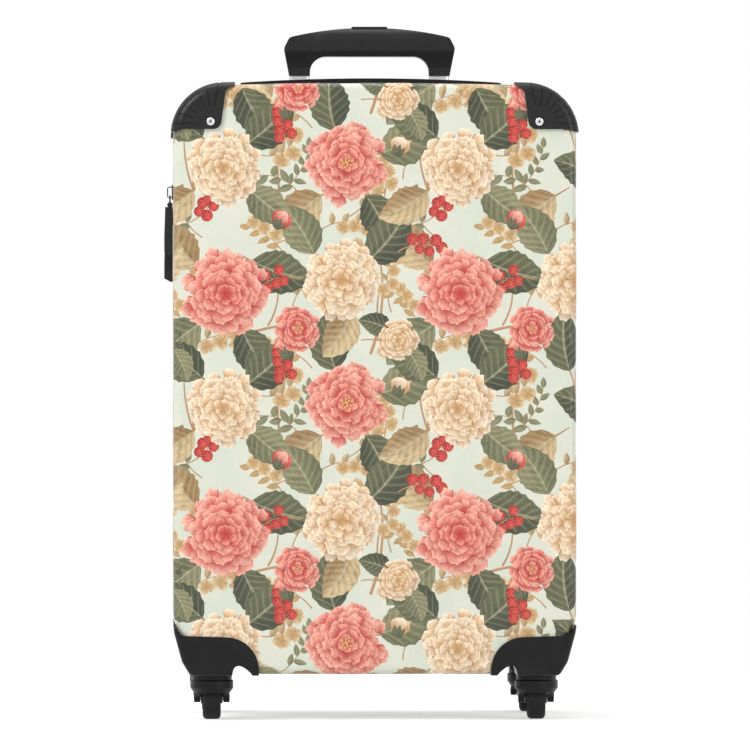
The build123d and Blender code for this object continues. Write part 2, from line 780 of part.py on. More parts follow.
bezel_length = 2 * pole_x + outer_tube_width + 2 * bezel_side
with BuildPart() as trolley_bezel:
    with BuildSketch(Plane.XY.offset(corner_z - 10)):
        with Locations((0, pole_y)):
            RectangleRounded(bezel_length, bezel_depth, 8)
    extrude(amount=shell_top + bezel_height - (corner_z - 10))
    fillet(trolley_bezel.faces().sort_by(Axis.Z)[-1].edges(), 2.2)
    add(rear(shell_outside), mode=Mode.SUBTRACT)
    with Locations((-pole_x, pole_y, 0), (pole_x, pole_y, 0)):
        with BuildSketch(Plane.XY.offset(corner_z - 20)):
            with Locations((-pole_x, pole_y), (pole_x, pole_y)):
                RectangleRounded(inner_tube_width + 2 * tube_gap, inner_tube_depth + 2 * tube_gap, 2)
    extrude(amount=60, mode=Mode.SUBTRACT)
    with BuildSketch(Plane.XY.offset(outer_tube_top)):
        with Locations((-pole_x, pole_y), (pole_x, pole_y)):
            RectangleRounded(outer_tube_width, outer_tube_depth, tube_corner_radius)
    extrude(amount=-60, mode=Mode.SUBTRACT)
finish(trolley_bezel.part, "trolley_bezel")

bracket_back = half_depth - shell_wall
bracket_front = pole_y - outer_tube_depth / 2
with BuildPart() as pole_bracket:
    with Locations((0, bracket_back, shell_bottom + shell_wall)):
        Box(2 * pole_x + outer_tube_width + 2 * bracket_side, bracket_back - bracket_front, bracket_height,
            align=(Align.CENTER, Align.MAX, Align.MIN))
    add(rear(shell_inside), mode=Mode.INTERSECT)
    with BuildSketch(Plane.XY.offset(outer_tube_bottom)):
        with Locations((-pole_x, pole_y), (pole_x, pole_y)):
            RectangleRounded(outer_tube_width, outer_tube_depth, tube_corner_radius)
    extrude(amount=60, mode=Mode.SUBTRACT)
    with Locations((0, bracket_front, shell_bottom + shell_wall + bracket_height)):
        Box(2 * pole_x - outer_tube_width - 2 * bracket_side, 40, bracket_height, mode=Mode.SUBTRACT)
finish(pole_bracket.part, "pole_bracket")

whole_grip = grip_body().moved(Location((0, pole_y, 0)))
button_low = grip_top + button_proud - button_height
pocket_low = button_low - button_travel - 0.5
with BuildPart() as grip:
    add(whole_grip)
    with Locations((0, pole_y, grip_crease_z)):
        Box(400, 100, 60, align=(Align.CENTER, Align.CENTER, Align.MIN), mode=Mode.SUBTRACT)
    with Locations((0, pole_y, pocket_low)):
        Box(button_length + 2 * button_gap, button_width + 2 * button_gap, 60,
            align=(Align.CENTER, Align.CENTER, Align.MIN), mode=Mode.SUBTRACT)
    with BuildSketch(Plane.XY.offset(grip_leg_bottom + 1)):
        with Locations((-pole_x, pole_y), (pole_x, pole_y)):
            RectangleRounded(inner_tube_width - 2 * tube_wall, inner_tube_depth - 2 * tube_wall,
                             tube_corner_radius - tube_wall)
    extrude(amount=-spigot_length - 1)
finish(grip.part, "grip")

with BuildPart() as grip_cap:
    add(whole_grip)
    with Locations((0, pole_y, grip_crease_z)):
        Box(400, 100, 60, align=(Align.CENTER, Align.CENTER, Align.MAX), mode=Mode.SUBTRACT)
    with Locations((0, pole_y, 0)):
        Box(button_length + 2 * button_gap, button_width + 2 * button_gap, 2 * big, mode=Mode.SUBTRACT)
finish(grip_cap.part, "grip_cap")

with BuildPart() as release_button:
    with Locations((0, pole_y, button_low)):
        Box(button_length, button_width, button_height, align=(Align.CENTER, Align.CENTER, Align.MIN))
    fillet(release_button.edges().filter_by(Axis.Z), 2)
    fillet(release_button.faces().sort_by(Axis.Z)[-1].edges(), 0.8)
finish(release_button.part, "release_button")

# Carry handle and its two mounts.
with BuildPart() as top_handle:
    with BuildSketch(Plane.XZ.offset(-handle_y - handle_width / 2)) as arch:
        with BuildLine():
            low_end = handle_end_z
            high_end = handle_end_z + handle_end_thickness
            ThreePointArc((-handle_half_length, low_end), (0, low_end + handle_arch), (handle_half_length, low_end))
            Line((handle_half_length, low_end), (handle_half_length, high_end))
            ThreePointArc((handle_half_length, high_end), (0, low_end + handle_arch + handle_apex_thickness),
                          (-handle_half_length, high_end))
            Line((-handle_half_length, high_end), (-handle_half_length, low_end))
        make_face()
    extrude(amount=handle_width)
    fillet(top_handle.edges().filter_by(Axis.Z), 9)
    with Locations((-stem_x, handle_y, stem_foot_top - stem_foot_height),
                   (stem_x, handle_y, stem_foot_top - stem_foot_height)):
        Box(stem_length, stem_width, handle_end_z + 1.5 - stem_foot_top + stem_foot_height,
            align=(Align.CENTER, Align.CENTER, Align.MIN))
        Box(stem_length, stem_foot_width, stem_foot_height, align=(Align.CENTER, Align.CENTER, Align.MIN))
finish(top_handle.part, "top_handle")

for side, x in (("left", -stem_x), ("right", stem_x)):
    with BuildPart() as handle_mount:
        with BuildSketch(Plane.XY.offset(corner_z - 10)):
            with Locations((x, handle_y)):
                RectangleRounded(mount_length, mount_width, 9)
        extrude(amount=top_at(stem_x) + mount_height - (corner_z - 10))
        fillet(handle_mount.faces().sort_by(Axis.Z)[-1].edges(), 1.4)
        add(rear(shell_outside), mode=Mode.SUBTRACT)
        with Locations((x, handle_y, mount_floor_z)):
            Box(stem_length + 2 * (stem_gap + mount_cup_wall), stem_foot_width + 2 * (stem_gap + mount_cup_wall),
                top_at(stem_x) + mount_height - 1.5 - mount_floor_z,
                align=(Align.CENTER, Align.CENTER, Align.MIN))
        with Locations((x, handle_y, mount_floor_z + mount_cup_wall)):
            Box(stem_length + 2 * stem_gap, stem_foot_width + 2 * stem_gap,
                mount_roof_z - mount_floor_z - mount_cup_wall,
                align=(Align.CENTER, Align.CENTER, Align.MIN), mode=Mode.SUBTRACT)
            Box(stem_length + 2 * stem_gap, stem_width + 2 * stem_gap, 60,
                align=(Align.CENTER, Align.CENTER, Align.MIN), mode=Mode.SUBTRACT)
    finish(handle_mount.part, f"handle_mount_{side}")

# Zip sliders with their links and pull tabs, on the left side.
plate_inner_x = -half_width + coil_inset - 0.6
plate_outer_x = plate_inner_x - slider_plate
bridge_outer_x = plate_outer_x - bridge_height
for name, z, turn in (("upper", upper_slider_z, -1), ("lower", lower_slider_z, 1)):
    pin_z = z - bridge_length / 2 + bridge_wall + link_wire_radius + 0.2
    pin_x = (plate_outer_x + bridge_outer_x + bridge_wall) / 2
    bar_z = pin_z - link_drop
    with BuildPart() as slider:
        with Locations((plate_inner_x, 0, z)):
            Box(slider_plate, 2 * slider_half_width, slider_length, align=(Align.MAX, Align.CENTER, Align.CENTER))
        fillet(slider.edges().filter_by(Axis.X), 2)
        with Locations((plate_inner_x, slider_lip_start, z)):
            Box(1.2, slider_half_width - slider_lip_start, slider_length - 4,
                align=(Align.MIN, Align.MIN, Align.CENTER))
        with BuildSketch(Plane.XZ.offset(-bridge_width / 2)) as arch:
            with Locations(((plate_outer_x + bridge_outer_x) / 2, z)):
                Rectangle(bridge_height, bridge_length)
            outer = arch.vertices().group_by(Axis.X)[0]
            fillet(outer, 2.2)
            with Locations(((plate_outer_x + bridge_outer_x + bridge_wall) / 2, z)):
                Rectangle(bridge_height - bridge_wall, bridge_length - 2 * bridge_wall, mode=Mode.SUBTRACT)
        extrude(amount=bridge_width)
    finish(slider.part, f"slider_{name}")
    with BuildPart() as link:
        arm_y = link_half_width - link_wire_radius
        for side in (1, -1):
            with Locations((pin_x, side * link_half_width, (pin_z + bar_z) / 2)):
                Box(link_arm, 2 * link_wire_radius, link_drop + link_arm)
        for height in (pin_z, bar_z):
            with Locations(Location((pin_x, 0, height), (90, 0, 0))):
                Cylinder(link_wire_radius, 2 * arm_y)
    finish(link.part, f"link_{name}")
    tab_top = bar_z - eye_radius + 0.4
    tab_x = -half_width - tab_side_gap - tab_width / 2
    side_y = turn * (tab_offset + tab_thickness / 2)
    with BuildPart() as tab:
        with Locations(Location((pin_x, 0, bar_z), (90, 0, 0))):
            Cylinder(eye_radius, 2 * (link_half_width - link_wire_radius - 0.3))
        with Locations((pin_x, turn * (tab_offset + tab_thickness) / 2 - turn * 0.6, tab_top)):
            Box(4.2, tab_offset + tab_thickness + 1.2, 2.2, align=(Align.CENTER, Align.CENTER, Align.MAX))
        with Locations(Location((pin_x, 0, bar_z), (90, 0, 0))):
            Cylinder(link_wire_radius + 0.08, 20, mode=Mode.SUBTRACT)
        with BuildSketch(Plane.XZ.offset(-side_y - tab_thickness / 2)) as leaf:
            with BuildLine():
                Polyline(
                    (tab_x - tab_width / 2 + 0.8, tab_top),
                    (tab_x - tab_width / 2, tab_top - tab_length + tab_grip_length),
                    (tab_x - tab_width / 2, tab_top - tab_length + 4),
                    (tab_x + tab_width / 2, tab_top - tab_length),
                    (tab_x + tab_width / 2, tab_top),
                    close=True,
                )
            make_face()
            fillet(leaf.vertices().group_by(Axis.Y)[0], 1.2)
        extrude(amount=tab_thickness)
        with Locations((tab_x, side_y + turn * tab_grip_extra / 2, tab_top - tab_length + 4.5)):
            Box(tab_width, tab_thickness + tab_grip_extra, tab_grip_length - 5,
                align=(Align.CENTER, Align.CENTER, Align.MIN))
    finish(tab.part, f"tab_{name}")

# Mesh pocket on the front lining, and packing straps with their buckle on the rear lining.
with BuildPart() as lid_pocket:
    with BuildSketch(Plane.XZ.offset(half_depth - shell_wall - lining_thickness - pocket_thickness)):
        with Locations((0, middle_z)):
            RectangleRounded(pocket_width, pocket_height, pocket_radius)
    extrude(amount=pocket_thickness)
finish(lid_pocket.part, "lid_pocket")

strap_y = rear_lining_back - lining_thickness
for name, side in (("left", -1), ("right", 1)):
    start_x = side * buckle_width / 2
    with BuildPart() as pack_strap:
        with BuildSketch(Plane.XZ.offset(-strap_y)):
            for end_z in (strap_low_z, strap_high_z):
                rise = end_z - middle_z
                run = side * strap_end_x - start_x
                length = sqrt(rise**2 + run**2)
                nx = -rise / length * strap_width / 2
                nz = run / length * strap_width / 2
                with BuildLine():
                    Polyline(
                        (start_x + nx, middle_z + nz),
                        (side * strap_end_x + nx, end_z + nz),
                        (side * strap_end_x - nx, end_z - nz),
                        (start_x - nx, middle_z - nz),
                        close=True,
                    )
                make_face()
            with Locations((start_x + side * 6, middle_z)):
                Rectangle(24, strap_width * 1.2)
            with Locations((0, middle_z)):
                Rectangle(buckle_width, 2 * buckle_height, mode=Mode.SUBTRACT)
        extrude(amount=strap_thickness)
    finish(pack_strap.part, f"pack_strap_{name}")

with BuildPart() as strap_buckle:
    with BuildSketch(Plane.XZ.offset(-strap_y)):
        with Locations((0, middle_z)):
            RectangleRounded(buckle_width, buckle_height, 7)
            Rectangle(1.6, buckle_height - 16, mode=Mode.SUBTRACT)
    extrude(amount=buckle_thickness)
    fillet(strap_buckle.faces().sort_by(Axis.Y)[0].outer_wire().edges(), 1.6)
finish(strap_buckle.part, "strap_buckle")
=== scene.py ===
"""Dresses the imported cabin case: printed shells, trims, zip, linings, straps, floor, light and camera."""
import json
from math import cos, pi, radians, sin

import bmesh
import bpy
import numpy as np
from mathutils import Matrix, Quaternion, Vector
from mathutils.bvhtree import BVHTree


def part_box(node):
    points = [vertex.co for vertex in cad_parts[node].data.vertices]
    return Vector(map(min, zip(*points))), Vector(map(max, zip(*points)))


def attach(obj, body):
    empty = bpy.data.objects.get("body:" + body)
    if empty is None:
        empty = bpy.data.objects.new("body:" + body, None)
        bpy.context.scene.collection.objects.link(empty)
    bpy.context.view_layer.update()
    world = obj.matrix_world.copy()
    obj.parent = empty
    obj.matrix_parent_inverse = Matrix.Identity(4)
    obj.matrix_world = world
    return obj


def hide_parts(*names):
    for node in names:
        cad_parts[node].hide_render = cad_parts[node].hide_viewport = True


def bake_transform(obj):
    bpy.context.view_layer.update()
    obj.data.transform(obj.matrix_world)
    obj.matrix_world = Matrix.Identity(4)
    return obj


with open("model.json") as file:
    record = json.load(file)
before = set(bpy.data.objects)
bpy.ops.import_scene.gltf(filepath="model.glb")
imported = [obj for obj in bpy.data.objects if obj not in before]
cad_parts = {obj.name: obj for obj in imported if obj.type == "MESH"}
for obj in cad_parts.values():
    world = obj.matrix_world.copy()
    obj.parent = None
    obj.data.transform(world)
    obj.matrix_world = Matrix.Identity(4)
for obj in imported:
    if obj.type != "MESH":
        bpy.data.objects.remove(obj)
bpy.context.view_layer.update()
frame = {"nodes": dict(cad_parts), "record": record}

node = frame["nodes"]
slot_of = {piece["node"]: piece["material_slot"] for piece in frame["record"]["subparts"]}

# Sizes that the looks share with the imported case, in metres.
FACE_Y = 0.121
EDGE = 0.0065
RIM_Y = 0.0047
SHELL_LOW, SHELL_HIGH, HALF_WIDE = 0.040, 0.5464, 0.1725
MIDDLE_Z = (SHELL_LOW + SHELL_HIGH) / 2
HINGE_LOW, HINGE_HIGH = 0.100, 0.490


def tint(red, green, blue):
    """A colour as it is seen, 0 to 255, as the shaders' own numbers."""
    return tuple(c / 12.92 if c <= 0.04045 else ((c + 0.055) / 1.055) ** 2.4
                 for c in (red / 255, green / 255, blue / 255))


class Tone:
    """A shader value; a sum on it adds the Math node that works it out."""

    def __init__(self, paint, socket):
        self.paint, self.socket = paint, socket

    def work(self, operation, first, second=0.0, third=0.0):
        made = self.paint.node("ShaderNodeMath", {"operation": operation}, {0: first, 1: second, 2: third})
        return Tone(self.paint, made.outputs[0])

    def __add__(self, other):
        return self.work("ADD", self, other)

    def __sub__(self, other):
        return self.work("SUBTRACT", self, other)

    def __rsub__(self, other):
        return self.work("SUBTRACT", other, self)

    def __mul__(self, other):
        return self.work("MULTIPLY", self, other)

    __radd__, __rmul__ = __add__, __mul__

    def __gt__(self, other):
        return self.work("GREATER_THAN", self, other)

    def __lt__(self, other):
        return self.work("LESS_THAN", self, other)

    def away(self):
        return self.work("ABSOLUTE", self)

    def part(self):
        return self.work("FRACT", self)

    def wave(self):
        return self.work("SINE", self)

    def ease(self, low, high):
        made = self.paint.node("ShaderNodeMapRange", {"interpolation_type": "SMOOTHSTEP"},
                               {0: self, 1: low, 2: high, 3: 0.0, 4: 1.0})
        return Tone(self.paint, made.outputs[0])


class Paint:
    """One material: its shader and the few ways its nodes are added."""

    def __init__(self, name, colour, roughness, **plain):
        self.material = bpy.data.materials.new(name)
        self.material.use_nodes = True
        self.tree = self.material.node_tree
        self.tree.nodes.clear()
        self.shader = self.node("ShaderNodeBsdfPrincipled", {},
                                {"Base Color": (*colour, 1.0), "Roughness": roughness})
        for name, value in plain.items():
            self.shader.inputs[name.replace("_", " ")].default_value = value
        self.node("ShaderNodeOutputMaterial", {}, {"Surface": self.shader.outputs[0]})
        self.material.diffuse_color = (*colour, 1.0)

    def node(self, kind, settings, values):
        made = self.tree.nodes.new(kind)
        for key, value in settings.items():
            if key == "stops":
                while len(made.color_ramp.elements) < len(value):
                    made.color_ramp.elements.new(0.5)
                for stop, (place, colour) in zip(made.color_ramp.elements, value):
                    stop.position, stop.color = place, (*colour, 1.0)
            else:
                setattr(made, key, value)
        for key, value in values.items():
            if isinstance(value, Tone):
                value = value.socket
            if isinstance(value, bpy.types.NodeSocket):
                self.tree.links.new(value, made.inputs[key])
            else:
                made.inputs[key].default_value = value
        return made

    def feed(self, socket, value):
        self.tree.links.new(value.socket if isinstance(value, Tone) else value, self.shader.inputs[socket])

    def place(self, stretch=(1.0, 1.0, 1.0)):
        """Object coordinates, stretched by stretch."""
        here = self.node("ShaderNodeTexCoord", {}, {}).outputs["Object"]
        return self.node("ShaderNodeMapping", {}, {"Vector": here, "Scale": stretch}).outputs[0]

    def axes(self, stretch=(1.0, 1.0, 1.0)):
        parts = self.node("ShaderNodeSeparateXYZ", {}, {0: self.place(stretch)})
        return [Tone(self, parts.outputs[k]) for k in range(3)]

    def noise(self, scale, detail=2.0, stretch=(1.0, 1.0, 1.0), at=None):
        made = self.node("ShaderNodeTexNoise", {}, {"Vector": at or self.place(stretch), "Scale": scale,
                                                    "Detail": detail, "Roughness": 0.6})
        return Tone(self, made.outputs["Fac"])

    def mix(self, factor, first, second, blend="MIX"):
        colours = {6: first if isinstance(first, bpy.types.NodeSocket) else (*first, 1.0),
                   7: second if isinstance(second, bpy.types.NodeSocket) else (*second, 1.0)}
        made = self.node("ShaderNodeMix", {"data_type": "RGBA", "blend_type": blend}, {0: factor, **colours})
        return made.outputs[2]

    def bump(self, height, strength, distance):
        made = self.node("ShaderNodeBump", {}, {"Strength": strength, "Distance": distance, "Height": height})
        self.feed("Normal", made.outputs[0])

    def value(self, name):
        """A number that the mesh carries at each of its points."""
        return Tone(self, self.node("ShaderNodeAttribute", {"attribute_name": name}, {}).outputs["Fac"])


# Finishes.
GROUND = tint(218, 220, 204)


def shell_finish(name):
    """Glossy film over a moulded shell: faint mottle in the colour and a slight ripple in the shine."""
    paint = Paint(name, GROUND, 0.34, Coat_Weight=0.25, Coat_Roughness=0.16)
    mottle = paint.noise(26, 4)
    speck = paint.noise(900, 1)
    pale = paint.mix(mottle.ease(0.35, 0.7), tint(213, 219, 203), tint(225, 224, 209))
    paint.feed("Base Color", paint.mix((speck > 0.62) * 0.4, pale, tint(196, 200, 180)))
    paint.feed("Roughness", 0.29 + paint.noise(55, 3) * 0.1)
    paint.bump(paint.noise(120, 2), 0.06, 0.0006)
    return paint.material


def print_finish():
    """Printed petals, leaves, stems and berries, each with its own veins and streaks along it."""
    paint = Paint("print_ink", tint(214, 150, 130), 0.34, Coat_Weight=0.25, Coat_Roughness=0.16)
    ink = paint.node("ShaderNodeAttribute", {"attribute_name": "ink"}, {}).outputs["Color"]
    spread = paint.node("ShaderNodeUVMap", {"uv_map": "along"}, {}).outputs[0]
    parts = paint.node("ShaderNodeSeparateXYZ", {}, {0: spread})
    along, across = Tone(paint, parts.outputs[0]), (Tone(paint, parts.outputs[1]) - 0.5) * 2.0
    leafy, mark = paint.value("leafy"), paint.value("mark")
    where = paint.node("ShaderNodeCombineXYZ", {}, {0: across * 7.0, 1: along * 1.5, 2: mark * 37.0})
    streak = paint.noise(1.3, 3, at=where.outputs[0])
    blotch = paint.noise(170, 3)
    side = across.away()
    shade = (streak.ease(0.58, 0.36) * 0.4 + side.ease(0.55, 1.0) * 0.4 + blotch.ease(0.55, 0.3) * 0.12)
    dark = paint.mix(1.0, ink, tint(196, 150, 132), "MULTIPLY")
    petal = paint.mix(shade, ink, dark)
    petal = paint.mix(streak.ease(0.56, 0.74) * along.ease(0.2, 0.9) * 0.4, petal, tint(255, 244, 232))
    vein = ((along * 7.0 - side * 1.7).part() - 0.5).away()
    rib = 1.0 - side.ease(0.03, 0.09)
    lines = (1.0 - vein.ease(0.03, 0.1)) * (1.0 - side.ease(0.75, 0.95))
    deep = paint.mix(1.0, ink, tint(150, 152, 134), "MULTIPLY")
    dusk = vein.ease(0.15, 0.5) * 0.3 + streak.ease(0.56, 0.3) * 0.3 + blotch.ease(0.5, 0.3) * 0.3
    leaf = paint.mix(dusk, ink, deep)
    leaf = paint.mix(lines * 0.24 + rib * 0.42, leaf, tint(196, 192, 158))
    paint.feed("Base Color", paint.mix(leafy > 0.5, petal, leaf))
    paint.feed("Roughness", 0.3 + paint.noise(60, 3) * 0.1)
    return paint.material


def plastic_finish(name, colour, roughness, grain, depth):
    """Moulded plastic with a fine grain and a few worn, duller places."""
    paint = Paint(name, colour, roughness, Specular_IOR_Level=0.2)
    worn = paint.noise(38, 4).ease(0.52, 0.78)
    paint.feed("Base Color", paint.mix(worn * 0.5, colour, tuple(min(1.0, c * 1.5 + 0.006) for c in colour)))
    paint.feed("Roughness", roughness - 0.05 + worn * 0.12 + paint.noise(grain * 0.6, 2) * 0.08)
    paint.bump(paint.noise(grain, 2), depth, 0.0002)
    return paint.material


def metal_finish(name, colour, roughness, stretch, depth):
    """Drawn or turned metal with fine lines along its length."""
    paint = Paint(name, colour, roughness, Metallic=1.0)
    lines = paint.noise(1.0, 3, stretch)
    paint.feed("Base Color", paint.mix(lines.ease(0.3, 0.75), tuple(c * 0.9 for c in colour), colour))
    paint.feed("Roughness", roughness - 0.06 + lines * 0.14)
    paint.bump(lines, depth, 0.0001)
    return paint.material


def cloth_finish(name, colour, thread, depth, pale=1.25):
    """Plain woven cloth: two crossing sets of threads, a slub here and there, a little sheen, and painted
    highlight on raised threads.
    """
    paint = Paint(name, colour, 0.85, Sheen_Weight=0.25, Sheen_Roughness=0.5)
    x, y, z = paint.axes()
    across, up = ((x + y) * thread).wave(), (z * thread).wave()
    weave = across * up
    slub = paint.noise(240, 3, (1, 1, 5))
    light = tuple(min(1.0, c * pale) for c in colour)
    # Raised threads and slubs painted lighter: a painted highlight on the weave's relief.
    raised_thread_highlight = weave.ease(-0.6, 0.9) * 0.6 + slub.ease(0.5, 0.8) * 0.4
    paint.feed("Base Color", paint.mix(raised_thread_highlight, colour, light))
    paint.feed("Roughness", 0.78 + slub * 0.15)
    paint.bump(weave + slub * 0.6, depth, 0.0003)
    return paint.material


def ribbed_finish(name, colour, rib, depth):
    """Webbing or zip tape: ribs across it and a herringbone between them, their raised threads painted lighter
    as a painted highlight.
    """
    paint = Paint(name, colour, 0.75, Sheen_Weight=0.3)
    x, y, z = paint.axes()
    ribs = ((x + z) * rib).wave()
    bone = ((x - z) * rib * 0.5 + (y * rib * 0.7).wave()).wave()
    light = tuple(min(1.0, c * 1.9 + 0.01) for c in colour)
    # Ribs and herringbone painted lighter where raised: a painted highlight, the grooves left as painted
    # shade.
    paint.feed("Base Color", paint.mix((ribs * bone).ease(-0.5, 0.9) * 0.55, colour, light))
    paint.bump(ribs + bone * 0.5, depth, 0.0003)
    return paint.material


def net_finish():
    """Open hexagon net, with clear holes between its threads."""
    paint = Paint("pocket_net", (0.035, 0.035, 0.038), 0.7, Sheen_Weight=0.2)
    x, y, z = paint.axes((2600, 2600, 2600))
    row = (z * 0.5).wave()
    holes = ((x * 0.5 + row * 0.8).wave().away() * row.away()).ease(0.3, 0.42)
    paint.feed("Alpha", 1.0 - holes)
    paint.feed("Base Color", paint.mix(paint.noise(500, 2), (0.03, 0.03, 0.032), (0.075, 0.075, 0.08)))
    return paint.material


finish = {
    "shell_print": shell_finish("shell_ground"),
    "lining_cloth": cloth_finish("lining_weave", tint(176, 170, 162), 5200, 0.35),
    "mesh_cloth": net_finish(),
    "webbing": ribbed_finish("strap_webbing", (0.022, 0.022, 0.024), 4200, 0.6),
    "zip_tape": ribbed_finish("zip_weave", (0.02, 0.02, 0.022), 5200, 0.4),
    "trim_plastic": plastic_finish("satin_black", (0.006, 0.0056, 0.0063), 0.34, 2600, 0.16),
    "button_plastic": plastic_finish("smooth_black", (0.014, 0.0135, 0.0145), 0.3, 1800, 0.08),
    "hub_plastic": plastic_finish("hub_grey", (0.055, 0.055, 0.058), 0.5, 2200, 0.25),
    "tread_rubber": plastic_finish("tread_rubber", (0.013, 0.013, 0.014), 0.62, 1500, 0.35),
    "pin_steel": metal_finish("pin_steel", (0.55, 0.55, 0.56), 0.34, (700, 700, 700), 0.1),
    "screw_steel": metal_finish("bright_steel", (0.78, 0.78, 0.79), 0.2, (400, 400, 400), 0.05),
    "tube_metal": metal_finish("drawn_aluminium", (0.72, 0.725, 0.735), 0.3, (1500, 1500, 6), 0.12),
    "pull_metal": metal_finish("dark_metal", (0.06, 0.06, 0.062), 0.36, (600, 600, 600), 0.1),
    "pull_rubber": plastic_finish("pull_rubber", (0.02, 0.019, 0.02), 0.55, 2400, 0.4),
}
# Caps and grip: the trim's black plastic painted lighter, as a painted highlight, and a little glossier.
finish["painted_highlight_trim"] = plastic_finish("painted_highlight_trim", (0.019, 0.018, 0.0195), 0.3, 2000, 0.12)
for name, piece in node.items():
    wanted = finish["painted_highlight_trim" if name.startswith(("cap_", "grip")) else slot_of[name]]
    if not piece.material_slots:
        piece.data.materials.append(wanted)
    for place in piece.material_slots:
        place.material = wanted


def put_in_scene(name, data):
    """A new object of its own, at the origin, that shows a mesh, a lamp or a camera."""
    made = bpy.data.objects.new(name, data)
    bpy.context.scene.collection.objects.link(made)
    return made


def new_piece(name, points, faces, material, body=None):
    """A mesh piece from its points and faces, riding on a body."""
    mesh = bpy.data.meshes.new(name)
    mesh.from_pydata([tuple(p) for p in points], [], [tuple(f) for f in faces])
    mesh.materials.append(material)
    mesh.validate()
    piece = put_in_scene(name, mesh)
    if body:
        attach(piece, body)
    return piece


# The print. A stroke is one petal, leaf, stem or berry, in millimetres on a flat sheet.
PETAL, LEAF, STEM, BERRY = range(4)
ROWS = {PETAL: (4, 4), LEAF: (14, 4), STEM: (22, 2), BERRY: (3, 10)}
FEW_ROWS = {PETAL: (3, 2), LEAF: (6, 2), STEM: (4, 1), BERRY: (1, 6)}
REACH = {
    PETAL: lambda s: 0.14 + 0.96 * np.sin(pi * 0.64 * s**0.9),
    LEAF: lambda s: 0.03 + 0.97 * np.sin(pi * np.clip(s, 0, 1) ** 0.82) ** 0.85,
    STEM: lambda s: 1 - 0.45 * s,
}
INKS = {
    "coral_deep": tint(198, 58, 52), "coral": tint(230, 106, 94), "coral_pale": tint(254, 196, 176),
    "cream_deep": tint(206, 162, 104), "cream": tint(244, 216, 168), "cream_pale": tint(255, 244, 220),
    "olive_deep": tint(62, 68, 48), "olive": tint(112, 114, 82), "olive_pale": tint(156, 152, 116),
    "tan_deep": tint(160, 126, 80), "tan": tint(196, 162, 108), "tan_pale": tint(232, 208, 164),
    "branch": tint(186, 138, 100), "berry": tint(184, 34, 30), "berry_pale": tint(216, 84, 70),
    "gold": tint(216, 166, 74),
}


def stroke(kind, x, y, turn, length, width, inks, height, bend=0.0, ruffle=0.0, mark=0.0, light=1.0):
    foot, tip = (np.array(INKS[ink] if isinstance(ink, str) else ink) * light for ink in inks)
    return dict(kind=kind, x=x, y=y, turn=turn, length=length, width=width, foot=foot, tip=tip, height=height,
                bend=bend, ruffle=ruffle, mark=mark)


grids = {}


def grid(rows, columns, even):
    """Even rows and columns, or rows that gather towards the tip, with their quads."""
    key = rows, columns, even
    if key not in grids:
        steps = np.linspace(0, 1, rows + 1)
        if not even:
            steps = np.sin(pi / 2 * steps)
        s, t = np.meshgrid(steps, np.linspace(-1, 1, columns + 1), indexing="ij")
        first = (np.arange(rows)[:, None] * (columns + 1) + np.arange(columns)[None]).ravel()
        quads = np.stack([first, first + columns + 1, first + columns + 2, first + 1], 1)
        grids[key] = s.ravel(), t.ravel(), quads
    return grids[key]


def draw(one, fine):
    """Points, quads, inks and place along one stroke, on the flat sheet."""
    kind, turn, bend, length = one["kind"], one["turn"], one["bend"], one["length"]
    small = length < {PETAL: 8.5, LEAF: 20, STEM: 20, BERRY: 1.6}[kind]
    finer = 3 if kind == LEAF and not small else 2
    rows, columns = (n * (finer if fine else 1) for n in (FEW_ROWS if small else ROWS)[kind])
    s, t, quads = grid(rows, columns, kind != PETAL)
    if kind == BERRY:
        x = one["x"] + length * (s + 0.002) * np.cos(t * pi)
        y = one["y"] + length * (s + 0.002) * np.sin(t * pi)
        mixed = np.clip((s * 1.3 + 0.45 * np.cos(t * pi - 2.2) * s - 0.1), 0, 1)[:, None]
        inks = one["tip"] * (1 - mixed) + one["foot"] * mixed
    else:
        here = turn + bend * s
        s_in = s
        if kind == PETAL:
            s_in = s * (1 - 0.3 * (t * s) ** 2 + one["ruffle"] * np.sin(t * 6 + one["mark"] * 9) * s**2)
        here_in = turn + bend * s_in
        if abs(bend) > 1e-3:
            ahead = length / bend * (np.sin(here_in) - sin(turn))
            aside = length / bend * (cos(turn) - np.cos(here_in))
        else:
            ahead, aside = length * s_in * cos(turn), length * s_in * sin(turn)
        across = t * one["width"] * REACH[kind](s)
        if kind == LEAF and not small:
            across = across * (1 + 0.045 * np.cos(pi * ROWS[LEAF][0] * s) * np.abs(t) ** 3)
        x, y = one["x"] + ahead - np.sin(here) * across, one["y"] + aside + np.cos(here) * across
        mixed = np.clip((s - 0.25) / 0.7, 0, 1) ** 1.5 if kind == PETAL else 0.3 + 0.3 * s + 0.32 * np.sign(t)
        mixed = np.clip(mixed, 0, 1)[:, None]
        inks = one["foot"] * (1 - mixed) + one["tip"] * mixed
    return np.stack([x, y], 1), quads, inks, np.stack([s, 0.5 + 0.5 * t], 1)


